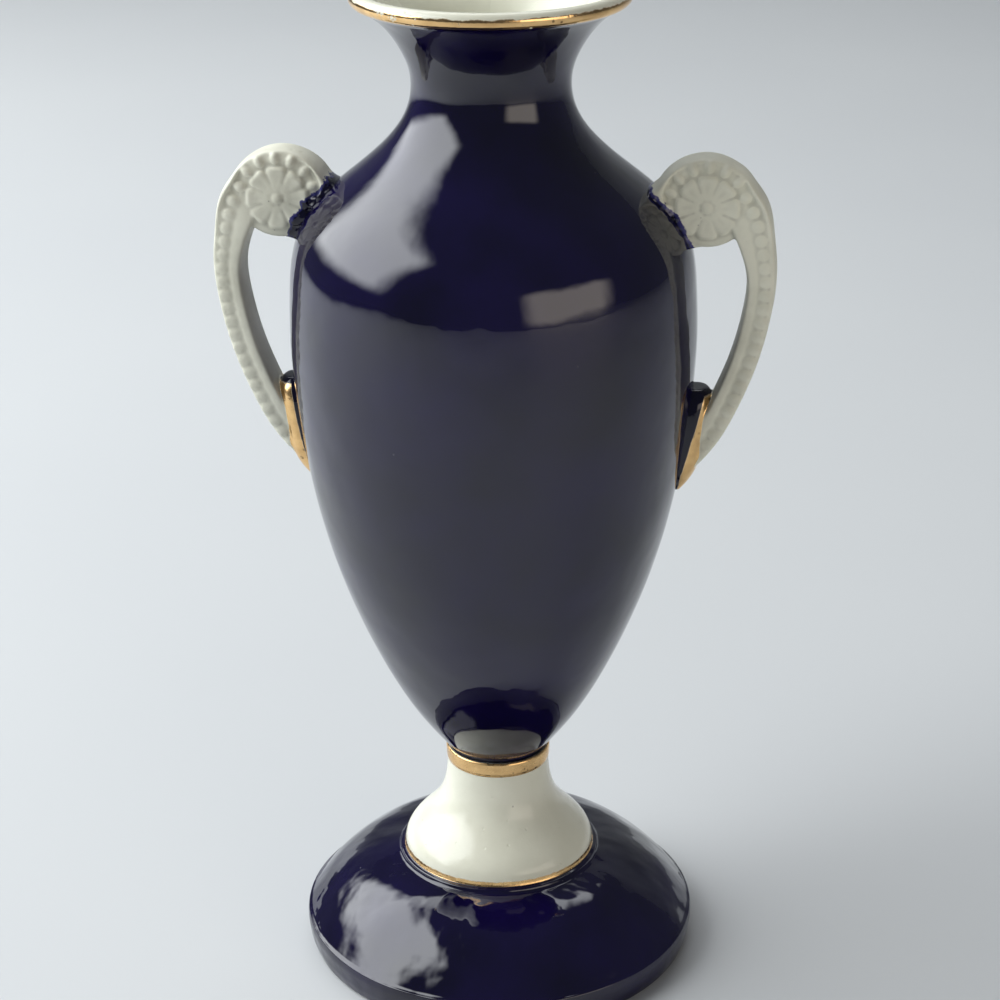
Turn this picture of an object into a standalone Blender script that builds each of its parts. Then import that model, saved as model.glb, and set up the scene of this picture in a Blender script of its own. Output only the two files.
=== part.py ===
"""A two-handled porcelain vase on its pedestal. Metres, +Z up, the handles along X, the front towards -Y.

The origin is the centre of the foot, on the surface that the vase stands on.
"""

import math

import bmesh
import bpy
import numpy as np

# Driving dimensions of the pedestal
FOOT_RADIUS = 0.0675
FOOT_WIDEST_HEIGHT = 0.0087
FOOT_UNDERCUT = 0.0018
FOOT_RING_WIDTH = 0.0050
FOOT_DOME_HEIGHT = 0.0325
LEDGE_RADIUS = 0.0344
LEDGE_HEIGHT = 0.0018
FLARE_RADIUS = 0.0326
WAIST_RADIUS = 0.0172
COLLAR_RADIUS = 0.0177
COLLAR_TOP = 0.0730
COLLAR_BAND = 0.0054
COLLAR_LIP = 0.0011
COLLAR_DISH = 0.0003
LEDGE_TUCK = 0.0006
RING_BEVEL = 0.0005
RING_SLOPE = 0.0012
HOLLOW_FILLET = 0.0010
PEDESTAL_WALL = 0.0045

# Driving dimensions of the body
BASE_DEPTH = 0.0045
BASE_TAPER = 0.0048
FLOOR_THICKNESS = 0.0062
FLOOR_FILLET = 0.0005
BELLY_RADIUS = 0.0650
BELLY_HEIGHT = 0.2220
NECK_RADIUS = 0.0248
NECK_HEIGHT = 0.3010
LIP_RADIUS = 0.0433
LIP_ROLL = 0.0025
OVERALL_HEIGHT = 0.3310
BODY_WALL = 0.0045

# Driving dimensions of the handles
HANDLE_THICKNESS = 0.0140
HANDLE_REACH = 0.0218
HEAD_RISE = 0.0436
HEAD_STANDOFF = 0.0023
HEAD_RADIUS = 0.0138
BEAD_RING_RADIUS = 0.0124
BEAD_PITCH = 0.0050
BEAD_RELIEF = 0.0019
RIM_WIDTH = 0.0025
SHAFT_WIDTH = 0.0096
STRAP_EDGE = 0.0012
SCALLOP = 0.0004
END_TAPER = 0.7
ROSETTE_RADIUS = 0.0096
ROSETTE_DROP = 0.0007
ROSETTE_SINK = 0.0001
PETAL_COUNT = 8
PETAL_RELIEF = 0.0012
PETAL_DISH = 0.0003
DISC_SINK = 0.0005
BUTTON_RADIUS = 0.0022
TONGUE_TOP_DROP = 0.0175
TONGUE_LENGTH = 0.0360
TONGUE_WIDTH = 0.0170
TONGUE_THICKNESS = 0.0062

# Clearance left where one casting meets another, and how finely the curves are cut into facets
FIT_GAP = 0.0003
TURNED_SIDES = 32
OUTSIDE_TOLERANCE = 0.00034
INSIDE_TOLERANCE = 0.0010

# Outlines between two driving points, as (share of the rise, share of the change of radius)
CUP_SHARES = ((0, 0), (0.087, 0.204), (0.208, 0.420), (0.383, 0.654), (0.584, 0.840), (0.799, 0.954))
SHOULDER_SHARES = ((0, 0), (0.177, 0.011), (0.354, 0.055), (0.532, 0.249), (0.684, 0.598), (0.835, 0.888))
THROAT_SHARES = ((0, 0), (0.22, 0.04), (0.445, 0.185), (0.668, 0.41), (0.85, 0.68), (1, 1))
BELL_SHARES = ((0, 0), (0.19, 0.04), (0.375, 0.14), (0.54, 0.34), (0.68, 0.61), (0.79, 0.83), (0.89, 0.96), (1, 1))
DOME_SHARES = ((0, 0), (0.165, 0.047), (0.375, 0.150), (0.62, 0.385), (0.835, 0.68), (0.965, 0.905))

# The handle's bead line below the head, as (share of the reach, share of the drop to the tongue's tip)
SHAFT_SHARES = (
    (0.808, 0.027),
    (0.930, 0.130),
    (1.000, 0.233),
    (0.949, 0.377),
    (0.762, 0.547),
    (0.500, 0.696),
    (0.196, 0.825),
    (-0.051, 0.900),
    (-0.304, 0.968),
)
RING_START = math.radians(225)
RING_END = math.radians(20)

# Along the bead line: (share of its length, rim outside the beads over RIM_WIDTH, strap over SHAFT_WIDTH)
STRAP_SHARES = (
    (0.00, 2.60, 0.27),
    (0.09, 1.80, 0.27),
    (0.14, 1.12, 0.27),
    (0.19, 0.93, 0.27),
    (0.25, 0.90, 0.27),
    (0.30, 1.25, 0.45),
    (0.335, 1.50, 0.95),
    (0.365, 1.35, 1.02),
    (0.40, 1.20, 0.88),
    (0.45, 1.08, 0.76),
    (0.50, 1.02, 0.73),
    (0.85, 0.95, 0.73),
    (0.93, 0.75, 0.60),
    (1.00, 0.35, 0.50),
)

# The tongue from its top to its tip: (share of the length, share of the width, share of the thickness)
TONGUE_SHARES = (
    (0.00, 0.50, 0.80),
    (0.06, 0.76, 0.98),
    (0.16, 0.94, 1.02),
    (0.30, 1.00, 1.00),
    (0.50, 0.97, 0.96),
    (0.70, 0.85, 0.90),
    (0.87, 0.50, 0.62),
    (1.00, 0.10, 0.20),
)


def spline(xs, ys):
    """The natural cubic spline through the points (xs, ys), as a function of x."""
    xs = np.asarray(xs, float)
    ys = np.asarray(ys, float)
    steps = np.diff(xs)
    rises = np.diff(ys) / steps
    system = np.eye(len(xs))
    right = np.zeros(len(xs))
    for i in range(1, len(xs) - 1):
        system[i, i - 1 : i + 2] = (steps[i - 1], 2 * (steps[i - 1] + steps[i]), steps[i])
        right[i] = 6 * (rises[i] - rises[i - 1])
    bends = np.linalg.solve(system, right)

    def value(x):
        i = np.clip(np.searchsorted(xs, x) - 1, 0, len(xs) - 2)
        step = steps[i]
        before = x - xs[i]
        after = xs[i + 1] - x
        cubic = (bends[i] * after**3 + bends[i + 1] * before**3) / (6 * step)
        start = (ys[i] / step - bends[i] * step / 6) * after
        end = (ys[i + 1] / step - bends[i + 1] * step / 6) * before
        return cubic + start + end

    return value


def share_points(start, end, shares):
    """Points (height, radius) between two driving points, from shares of the rise and of the change of radius."""
    (z0, r0), (z1, r1) = start, end
    return [(z0 + (z1 - z0) * rise, r0 + (r1 - r0) * change) for rise, change in shares]


def thinned(points, tolerance):
    """The points of a dense line that keep its chords within the tolerance of it."""
    points = np.asarray(points, float)
    chord = points[-1] - points[0]
    away = points - points[0]
    distance = np.abs(chord[0] * away[:, 1] - chord[1] * away[:, 0]) / np.linalg.norm(chord)
    far = int(distance.argmax())
    if distance[far] <= tolerance:
        return [tuple(points[0]), tuple(points[-1])]
    return thinned(points[: far + 1], tolerance)[:-1] + thinned(points[far:], tolerance)


def pushed_out(points, distance):
    """The line moved sideways: a positive distance is to the left of its direction, in (radius, height)."""
    points = np.asarray(points, float)
    along = np.gradient(points, axis=0)
    along /= np.linalg.norm(along, axis=1)[:, None]
    sideways = np.stack([-along[:, 1], along[:, 0]], axis=1)
    return points + distance * sideways


def arc(centre, radius, start, end, count):
    """Points (radius, height) of an arc between two angles in degrees, both ends included."""
    angles = np.radians(np.linspace(start, end, count))
    return [(centre[0] + radius * math.cos(a), centre[1] + radius * math.sin(a)) for a in angles]


# The body's outline: where its base sits in the collar, and the radius at each height above that
BASE_Z = COLLAR_TOP - BASE_DEPTH
BASE_RADIUS_AT_COLLAR = COLLAR_RADIUS - COLLAR_LIP - FIT_GAP
LIP_CENTRE = (LIP_RADIUS - LIP_ROLL, OVERALL_HEIGHT - LIP_ROLL)
LIP_UNDERSIDE = (LIP_CENTRE[1] - LIP_ROLL, LIP_CENTRE[0] - LIP_ROLL * 0.2)
BODY_KEYS = (
    share_points((COLLAR_TOP, BASE_RADIUS_AT_COLLAR), (BELLY_HEIGHT, BELLY_RADIUS), CUP_SHARES)
    + share_points((BELLY_HEIGHT, BELLY_RADIUS), (NECK_HEIGHT, NECK_RADIUS), SHOULDER_SHARES)
    + share_points((NECK_HEIGHT, NECK_RADIUS), LIP_UNDERSIDE, THROAT_SHARES)
)
body_radius = spline([z for z, _ in BODY_KEYS], [r for _, r in BODY_KEYS])


def base_outline(clearance):
    """The flat-bottomed cup that sits in the collar, from the axis out to the collar's top."""
    side = BASE_RADIUS_AT_COLLAR + clearance
    floor = BASE_Z - clearance
    return [
        (0, floor),
        (side - BASE_TAPER, floor),
        (side - BASE_TAPER * 0.38, floor + BASE_DEPTH * 0.42),
        (side, COLLAR_TOP),
    ]


def body_side():
    """The outside from the collar's top to the lip's underside, as dense points (radius, height)."""
    heights = np.linspace(COLLAR_TOP, LIP_UNDERSIDE[0], 400)
    return np.array([(body_radius(z), z) for z in heights])


def body_outline(clearance=0.0):
    """The outside of the body from the axis to the lip, moved out by a clearance."""
    side = pushed_out(thinned(body_side(), OUTSIDE_TOLERANCE), -clearance)
    return base_outline(clearance)[:-1] + [tuple(p) for p in side]


def body_profile():
    """The whole section of the body: outside, rolled lip, inside and floor."""
    roll = arc(LIP_CENTRE, LIP_ROLL, -75, 165, 9)
    inside = pushed_out(body_side(), BODY_WALL)
    floor = BASE_Z + FLOOR_THICKNESS
    wall = [p for p in inside if floor + FLOOR_FILLET < p[1] < LIP_CENTRE[1] - LIP_ROLL * 1.6]
    return body_outline() + roll + thinned(wall[::-1], INSIDE_TOLERANCE) + [(0, floor)]


def bell_side():
    """The pedestal's stem from under the gold band down to the ledge."""
    start = (COLLAR_TOP - COLLAR_BAND, WAIST_RADIUS)
    end = (FOOT_DOME_HEIGHT + LEDGE_HEIGHT, FLARE_RADIUS)
    keys = share_points(start, end, BELL_SHARES)[::-1]
    radius = spline([z for z, _ in keys], [r for _, r in keys])
    return [(radius(z), z) for z in np.linspace(start[0], end[0], 120)]


def dome_side():
    """The foot from the ledge out to where its rim turns down."""
    span = FOOT_RADIUS - LEDGE_RADIUS
    drop = FOOT_DOME_HEIGHT - FOOT_WIDEST_HEIGHT
    keys = [(LEDGE_RADIUS + span * out, FOOT_DOME_HEIGHT - drop * down) for out, down in DOME_SHARES]
    height = spline([r for r, _ in keys], [z for _, z in keys])
    return [(r, height(r)) for r in np.linspace(keys[0][0], keys[-1][0], 120)]


def pedestal_profile():
    """The whole section of the pedestal: seat, collar, bell, ledge, foot, foot ring and hollow."""
    seat = base_outline(FIT_GAP)
    collar = [
        (COLLAR_RADIUS - COLLAR_LIP * 0.4, COLLAR_TOP),
        (COLLAR_RADIUS, COLLAR_TOP - COLLAR_LIP * 0.5),
        (COLLAR_RADIUS - COLLAR_DISH, COLLAR_TOP - COLLAR_BAND * 0.8),
    ]
    ledge = [
        (FLARE_RADIUS + LEDGE_TUCK, FOOT_DOME_HEIGHT + LEDGE_HEIGHT),
        (LEDGE_RADIUS, FOOT_DOME_HEIGHT + LEDGE_HEIGHT * 0.45),
    ]
    rim = [
        (FOOT_RADIUS, FOOT_WIDEST_HEIGHT),
        (FOOT_RADIUS - FOOT_UNDERCUT * 0.3, FOOT_WIDEST_HEIGHT * 0.45),
        (FOOT_RADIUS - FOOT_UNDERCUT * 0.8, FOOT_WIDEST_HEIGHT * 0.1),
        (FOOT_RADIUS - FOOT_UNDERCUT - RING_BEVEL, 0),
    ]
    ring = [
        (rim[-1][0] - FOOT_RING_WIDTH, 0),
        (rim[-1][0] - FOOT_RING_WIDTH - RING_SLOPE, FOOT_WIDEST_HEIGHT * 0.5),
    ]
    under_dome = pushed_out(dome_side(), -PEDESTAL_WALL)[::-1]
    under_dome = [p for p in under_dome if LEDGE_RADIUS < p[0] < ring[-1][0] - HOLLOW_FILLET]
    hollow_top = BASE_Z - FIT_GAP - PEDESTAL_WALL
    inside_bell = [p for p in pushed_out(bell_side(), -PEDESTAL_WALL)[::-1] if p[1] < hollow_top]
    hollow = (
        thinned(under_dome, INSIDE_TOLERANCE)
        + [(FLARE_RADIUS - PEDESTAL_WALL, FOOT_DOME_HEIGHT - PEDESTAL_WALL * 0.6)]
        + thinned(inside_bell, INSIDE_TOLERANCE)
        + [(0, hollow_top)]
    )
    outside = thinned(bell_side(), OUTSIDE_TOLERANCE) + ledge + thinned(dome_side(), OUTSIDE_TOLERANCE)
    return seat + collar + outside + rim + ring + hollow


def material(name, colour, roughness, metallic=0.0):
    made = bpy.data.materials.new(name)
    made.use_nodes = True
    shader = made.node_tree.nodes["Principled BSDF"]
    shader.inputs["Base Color"].default_value = (*colour, 1)
    shader.inputs["Roughness"].default_value = roughness
    shader.inputs["Metallic"].default_value = metallic
    return made


def finished_object(name, bm, materials, slot_of_face=None):
    """Turns a bmesh into an object at the origin, shaded smooth except over real edges."""
    bmesh.ops.recalc_face_normals(bm, faces=bm.faces[:])
    bm.normal_update()
    if slot_of_face:
        for face in bm.faces:
            face.material_index = slot_of_face(face.calc_center_median(), face.normal)
    mesh = bpy.data.meshes.new(name)
    bm.to_mesh(mesh)
    bm.free()
    for entry in materials:
        mesh.materials.append(entry)
    mesh.shade_smooth()
    mesh.set_sharp_from_angle(angle=math.radians(40))
    made = bpy.data.objects.new(name, mesh)
    bpy.context.scene.collection.objects.link(made)
    return made


def turned(profile):
    """A bmesh of the profile, points (radius, height) from axis to axis, spun about Z."""
    bm = bmesh.new()
    points = [bm.verts.new((radius, 0, height)) for radius, height in profile]
    edges = [bm.edges.new(pair) for pair in zip(points, points[1:])]
    bmesh.ops.spin(
        bm,
        geom=points + edges,
        cent=(0, 0, 0),
        axis=(0, 0, 1),
        angle=2 * math.pi,
        steps=TURNED_SIDES,
        use_merge=True,
    )
    bmesh.ops.remove_doubles(bm, verts=bm.verts[:], dist=1e-6)
    return bm


def outwards(centre, normal):
    return centre.x * normal.x + centre.y * normal.y > 0


def body_slot(centre, normal):
    """0 cobalt, 1 white, 2 gold."""
    radius = math.hypot(centre.x, centre.y)
    if math.dist((radius, centre.z), LIP_CENTRE) < LIP_ROLL * 1.02 and outwards(centre, normal):
        return 2
    inside = not outwards(centre, normal) and centre.z > BASE_Z + FLOOR_THICKNESS / 2
    return 1 if inside else 0


def pedestal_slot(centre, normal):
    """0 cobalt, 1 white, 2 gold."""
    if not outwards(centre, normal) and centre.z < COLLAR_TOP - COLLAR_BAND:
        return 1
    if centre.z > COLLAR_TOP - COLLAR_BAND:
        return 2
    return 1 if centre.z > FOOT_DOME_HEIGHT + LEDGE_HEIGHT else 0


# The handle's own frame: x out from the vase's axis, z up. The head's centre and the tongue's ends
HEAD_CENTRE = np.array([BELLY_RADIUS + HEAD_STANDOFF, BELLY_HEIGHT + HEAD_RISE])
TONGUE_TOP = BELLY_HEIGHT - TONGUE_TOP_DROP
TONGUE_TIP = TONGUE_TOP - TONGUE_LENGTH
HALF_THICKNESS = HANDLE_THICKNESS / 2


def bead_line():
    """Where the beads run: round the head, then down the shaft, as stations half a bead apart."""
    ring = arc(HEAD_CENTRE, BEAD_RING_RADIUS, math.degrees(RING_START), math.degrees(RING_END), 15)
    drop = HEAD_CENTRE[1] - TONGUE_TIP
    shaft = [(BELLY_RADIUS + HANDLE_REACH * out, HEAD_CENTRE[1] - drop * down) for out, down in SHAFT_SHARES]
    keys = np.array(ring + shaft)
    chords = np.concatenate([[0], np.cumsum(np.linalg.norm(np.diff(keys, axis=0), axis=1))])
    along_x = spline(chords, keys[:, 0])
    along_z = spline(chords, keys[:, 1])
    stations = 2 * round(chords[-1] / BEAD_PITCH) + 1
    return np.array([(along_x(s), along_z(s)) for s in np.linspace(0, chords[-1], stations)])


def strap_section(share, crest):
    """Half of the strap's section, as (distance out from the bead line, distance from the middle plane)."""
    rim = RIM_WIDTH * np.interp(share, *np.array(STRAP_SHARES).T[[0, 1]])
    inner = SHAFT_WIDTH * np.interp(share, *np.array(STRAP_SHARES).T[[0, 2]])
    on_shaft = np.interp(share, (0.35, 0.45), (0, 1))
    outer = rim - (0 if crest else SCALLOP * on_shaft)
    face = HALF_THICKNESS * np.interp(share, (0.82, 1), (1, END_TAPER))
    return [
        (outer, face * 0.6),
        (outer * 0.6, face),
        (0, face if crest else face - BEAD_RELIEF),
        (-inner * 0.4, face - BEAD_RELIEF * 0.2),
        (-(inner - STRAP_EDGE), face - BEAD_RELIEF * 0.6),
        (-inner, face * 0.55),
    ]


def loft(rings):
    """A closed bmesh through rings of equally many points, with a cap on both ends."""
    bm = bmesh.new()
    made = [[bm.verts.new(point) for point in ring] for ring in rings]
    for first, second in zip(made, made[1:]):
        for i in range(len(first)):
            j = (i + 1) % len(first)
            bm.faces.new((first[i], first[j], second[j], second[i]))
    bm.faces.new(made[0])
    bm.faces.new(made[-1][::-1])
    return bm


def strap(side):
    """The handle's strap: a rim, a row of beads and a smooth rib, on the front and on the back."""
    line = bead_line()
    along = np.gradient(line, axis=0)
    along /= np.linalg.norm(along, axis=1)[:, None]
    rings = []
    for i, (point, (step_x, step_z)) in enumerate(zip(line, along)):
        out = np.array([-step_z, step_x])
        half = strap_section(i / (len(line) - 1), crest=i % 2 == 1)
        front = [(point + out * n, -y) for n, y in half]
        back = [(point + out * n, y) for n, y in reversed(half)]
        rings.append([(side * place[0], y, place[1]) for place, y in front + back])
    return loft(rings)


def head(side):
    """The head's disc, with a rosette of petals round a button on both faces."""
    petal_floor = HALF_THICKNESS - PETAL_RELIEF - DISC_SINK
    crest = HALF_THICKNESS - ROSETTE_SINK
    rosette_height = HEAD_CENTRE[1] - ROSETTE_DROP
    rings = (
        (BUTTON_RADIUS * 0.7, crest, crest),
        (BUTTON_RADIUS * 1.25, petal_floor, petal_floor),
        (ROSETTE_RADIUS * 0.50, crest - PETAL_DISH, petal_floor),
        (ROSETTE_RADIUS * 0.86, crest, petal_floor),
        (ROSETTE_RADIUS, petal_floor, petal_floor),
        (HEAD_RADIUS * 0.87, HALF_THICKNESS - BEAD_RELIEF * 0.5, HALF_THICKNESS - BEAD_RELIEF * 0.5),
        (HEAD_RADIUS, HALF_THICKNESS * 0.6, HALF_THICKNESS * 0.6),
    )
    around = 2 * PETAL_COUNT
    bm = bmesh.new()
    edges = []
    for face in (-1, 1):
        middle = bm.verts.new((side * HEAD_CENTRE[0], face * crest, rosette_height))
        circles = []
        for radius, high, low in rings:
            circle = []
            height = rosette_height if radius <= ROSETTE_RADIUS else HEAD_CENTRE[1]
            for i in range(around):
                turn = 2 * math.pi * i / around
                x = side * (HEAD_CENTRE[0] + radius * math.cos(turn))
                z = height + radius * math.sin(turn)
                circle.append(bm.verts.new((x, face * (low if i % 2 else high), z)))
            circles.append(circle)
        for i in range(around):
            j = (i + 1) % around
            bm.faces.new((middle, circles[0][i], circles[0][j]))
            for inner, outer in zip(circles, circles[1:]):
                bm.faces.new((inner[i], outer[i], outer[j], inner[j]))
        edges.append(circles[-1])
    for i in range(around):
        j = (i + 1) % around
        bm.faces.new((edges[0][i], edges[1][i], edges[1][j], edges[0][j]))
    return bm


def tongue(side):
    """The gilded tongue that hugs the belly, a little deeper than the belly's surface, which trims it."""
    rings = []
    for share, width, thickness in TONGUE_SHARES:
        height = TONGUE_TOP - share * TONGUE_LENGTH
        surface = float(body_radius(height))
        half = TONGUE_WIDTH / 2 * width
        rise = TONGUE_THICKNESS * thickness
        depth = TONGUE_THICKNESS * 0.5
        section = (
            (-half, -depth),
            (-half, rise * 0.5),
            (-half * 0.75, rise * 0.9),
            (0, rise),
            (half * 0.75, rise * 0.9),
            (half, rise * 0.5),
            (half, -depth),
        )
        rings.append([(side * (surface + out), y, height) for y, out in section])
    return loft(rings)


def helper(made):
    made.hide_render = True
    made.display_type = "WIRE"
    return made


def joined(target, other, operation):
    modifier = target.modifiers.new(operation.title() + " " + other.name, "BOOLEAN")
    modifier.operation = operation
    modifier.solver = "EXACT"
    modifier.object = other


def main():
    for old in list(bpy.data.objects):
        bpy.data.objects.remove(old)

    cobalt = material("cobalt_glaze", (0.010, 0.008, 0.055), 0.06)
    white = material("white_glaze", (0.82, 0.82, 0.76), 0.12)
    gold = material("burnished_gold", (0.80, 0.52, 0.22), 0.22, 1.0)
    bisque = material("bisque", (0.62, 0.62, 0.55), 0.75)

    finished_object("vase_body", turned(body_profile()), (cobalt, white, gold), body_slot)
    finished_object("pedestal", turned(pedestal_profile()), (cobalt, white, gold), pedestal_slot)

    room = turned(body_outline(FIT_GAP) + [(0, LIP_UNDERSIDE[0])])
    body_room = helper(finished_object("body_room", room, (bisque,)))
    for word, side in (("left", -1), ("right", 1)):
        handle = finished_object("handle_" + word, strap(side), (bisque, gold))
        disc = helper(finished_object("head_" + word, head(side), (bisque, gold)))
        gilded = tongue(side)
        foot = helper(finished_object("tongue_" + word, gilded, (bisque, gold), lambda centre, normal: 1))
        joined(handle, disc, "UNION")
        joined(handle, foot, "UNION")
        joined(handle, body_room, "DIFFERENCE")


main()
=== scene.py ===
# %% [markdown]
# # A two-handled porcelain vase
# The frame comes first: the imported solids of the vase, in metres, with its foot on the ground at
# the origin. They give the true sizes. The pieces that are made below stand for them, with finer
# forms and real finishes.

# %% Load the frame
import math

import bmesh
import bpy
import numpy as np
from mathutils import Euler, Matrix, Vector
from mathutils.bvhtree import BVHTree


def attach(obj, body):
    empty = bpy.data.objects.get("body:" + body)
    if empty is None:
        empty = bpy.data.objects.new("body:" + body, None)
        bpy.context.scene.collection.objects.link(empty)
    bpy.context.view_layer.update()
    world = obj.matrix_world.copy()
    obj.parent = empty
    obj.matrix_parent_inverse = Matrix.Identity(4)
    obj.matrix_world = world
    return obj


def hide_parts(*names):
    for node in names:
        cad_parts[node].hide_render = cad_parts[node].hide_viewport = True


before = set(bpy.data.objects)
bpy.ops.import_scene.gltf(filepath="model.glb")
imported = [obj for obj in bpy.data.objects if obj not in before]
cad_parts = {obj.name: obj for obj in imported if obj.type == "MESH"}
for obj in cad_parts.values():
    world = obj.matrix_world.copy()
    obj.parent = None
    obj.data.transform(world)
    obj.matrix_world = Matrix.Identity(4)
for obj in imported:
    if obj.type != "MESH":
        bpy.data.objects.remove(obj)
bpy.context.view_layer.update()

MM = 0.001
print("nodes", sorted(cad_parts))

# %% [markdown]
# ## The camera
# A camera is found by its place and its lens. This one looks down on the vase by 22.8 degrees from
# 0.87 m away, a little to the right of its front, with a long lens, and it leans by half a degree.
# The vase then fills the picture from the lip to the foot.

# %% Camera
LENS_PIXELS = 2400.0
CAMERA_AZIMUTH = math.radians(7.0)
CAMERA_PITCH = math.radians(22.8)
CAMERA_DISTANCE = 0.729
CAMERA_HEIGHT = 0.4687
CAMERA_LEAN = math.atan(0.0094)
AXIS_OFFSET_PIXELS = 4.9
PICTURE_PIXELS = 1000
SENSOR_WIDTH = 36.0

camera_data = bpy.data.cameras.new("camera")
camera_data.sensor_width = SENSOR_WIDTH
camera_data.lens = SENSOR_WIDTH * LENS_PIXELS / PICTURE_PIXELS
camera_data.clip_start = 0.05
camera = bpy.data.objects.new("camera", camera_data)
bpy.context.scene.collection.objects.link(camera)
camera.location = (
    CAMERA_DISTANCE * math.sin(CAMERA_AZIMUTH),
    -CAMERA_DISTANCE * math.cos(CAMERA_AZIMUTH),
    CAMERA_HEIGHT,
)
swing = CAMERA_AZIMUTH - AXIS_OFFSET_PIXELS / LENS_PIXELS
turn = Euler((math.pi / 2 - CAMERA_PITCH, 0, swing)).to_matrix()
lean = Euler((0, 0, -CAMERA_LEAN)).to_matrix()
camera.rotation_euler = (turn @ lean).to_euler()
bpy.context.scene.camera = camera
print("camera at", [round(c, 3) for c in camera.location])

# %% [markdown]
# ## One smooth line through a few points
# A potter's outline has no corners between its few key heights. A natural cubic spline gives such a
# line: it passes through every key point and bends as little as it can. Bezier handles could do it
# too, but then each handle would have to be set by eye.


# %% Spline
def spline(xs, ys):
    """The natural cubic spline through the points (xs, ys), as a function of x."""
    xs = np.asarray(xs, float)
    ys = np.asarray(ys, float)
    steps = np.diff(xs)
    rises = np.diff(ys) / steps
    system = np.eye(len(xs))
    right = np.zeros(len(xs))
    for i in range(1, len(xs) - 1):
        system[i, i - 1 : i + 2] = (steps[i - 1], 2 * (steps[i - 1] + steps[i]), steps[i])
        right[i] = 6 * (rises[i] - rises[i - 1])
    bends = np.linalg.solve(system, right)

    def value(x):
        i = np.clip(np.searchsorted(xs, x) - 1, 0, len(xs) - 2)
        step = steps[i]
        before = x - xs[i]
        after = xs[i + 1] - x
        cubic = (bends[i] * after**3 + bends[i + 1] * before**3) / (6 * step)
        start = (ys[i] / step - bends[i] * step / 6) * after
        end = (ys[i + 1] / step - bends[i + 1] * step / 6) * before
        return cubic + start + end

    return value


def share_points(start, end, shares):
    """Points (height, radius) between two key points, from shares of the rise and of the change."""
    (z0, r0), (z1, r1) = start, end
    return [(z0 + (z1 - z0) * rise, r0 + (r1 - r0) * change) for rise, change in shares]


# %% [markdown]
# ## The outline of the body
# The body is a tall cup that swells to its belly, turns in over the shoulder to a narrow neck and
# flares to the lip. The lip is rolled over into a small tube. All sizes are in millimetres here and
# turned into metres once.

# %% Body outline
BELLY_RADIUS = 65.0
BELLY_HEIGHT = 222.0
NECK_RADIUS = 24.8
NECK_HEIGHT = 301.0
COLLAR_RADIUS = 17.7
COLLAR_TOP = 73.0
COLLAR_LIP = 1.1
BASE_DEPTH = 4.5
BASE_TAPER = 4.8
FLOOR_THICKNESS = 6.2
BODY_WALL = 4.5
FIT_GAP = 0.3
LIP_RADIUS = 43.3
LIP_ROLL = 2.5
OVERALL_HEIGHT = 330.85
ROLL_START = -75
ROLL_END = 165
OUTLINE_POINTS = 170
CUP_SHARES = ((0, 0), (0.087, 0.204), (0.208, 0.420), (0.383, 0.654), (0.584, 0.840), (0.799, 0.954))
SHOULDER_SHARES = (
    (0, 0),
    (0.177, 0.011),
    (0.354, 0.055),
    (0.532, 0.249),
    (0.684, 0.598),
    (0.835, 0.888),
)
THROAT_SHARES = ((0, 0), (0.22, 0.04), (0.445, 0.185), (0.668, 0.41), (0.85, 0.68), (1, 1))

BASE_HEIGHT = COLLAR_TOP - BASE_DEPTH
BASE_RADIUS = COLLAR_RADIUS - COLLAR_LIP - FIT_GAP
LIP_CENTRE = (LIP_RADIUS - LIP_ROLL, OVERALL_HEIGHT - LIP_ROLL)
LIP_UNDERSIDE = (LIP_CENTRE[1] - LIP_ROLL, LIP_CENTRE[0] - LIP_ROLL * 0.2)
BODY_KEYS = (
    share_points((COLLAR_TOP, BASE_RADIUS), (BELLY_HEIGHT, BELLY_RADIUS), CUP_SHARES)
    + share_points((BELLY_HEIGHT, BELLY_RADIUS), (NECK_HEIGHT, NECK_RADIUS), SHOULDER_SHARES)
    + share_points((NECK_HEIGHT, NECK_RADIUS), LIP_UNDERSIDE, THROAT_SHARES)
)
body_radius = spline([z for z, _ in BODY_KEYS], [r for _, r in BODY_KEYS])
print("belly radius", round(float(body_radius(BELLY_HEIGHT)), 1), "mm")
print("neck radius", round(float(body_radius(NECK_HEIGHT)), 1), "mm")

# %% [markdown]
# ### The wall and its rounded places
# A wall is the outline moved sideways by its thickness, so that it is equally thick on a slope.
# Arcs make what is rolled over, and a small curve takes the place of each corner, as the glaze
# leaves it.

# %% Outline helpers
def pushed_out(points, distance):
    """The line of (radius, height) moved sideways, to the left of its direction if positive."""
    points = np.asarray(points, float)
    along = np.gradient(points, axis=0)
    along /= np.linalg.norm(along, axis=1)[:, None]
    sideways = np.stack([-along[:, 1], along[:, 0]], axis=1)
    return points + distance * sideways


def arc(centre, radius, start, end, count):
    """Points (radius, height) of an arc between two angles in degrees, both ends included."""
    angles = np.radians(np.linspace(start, end, count))
    return [(centre[0] + radius * math.cos(a), centre[1] + radius * math.sin(a)) for a in angles]


def softened(points, radius, count=5):
    """A line of straight runs with its inner corners rounded, as a glaze leaves them."""
    made = [tuple(points[0])]
    for before, corner, after in zip(points, points[1:], points[2:]):
        before, corner, after = (np.asarray(p, float) for p in (before, corner, after))
        back, ahead = np.linalg.norm(before - corner), np.linalg.norm(after - corner)
        reach = min(radius, back * 0.45, ahead * 0.45)
        start = corner + (before - corner) / back * reach
        end = corner + (after - corner) / ahead * reach
        for t in np.linspace(0, 1, count):
            made.append(tuple((1 - t) ** 2 * start + 2 * t * (1 - t) * corner + t**2 * end))
    return made + [tuple(points[-1])]


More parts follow.
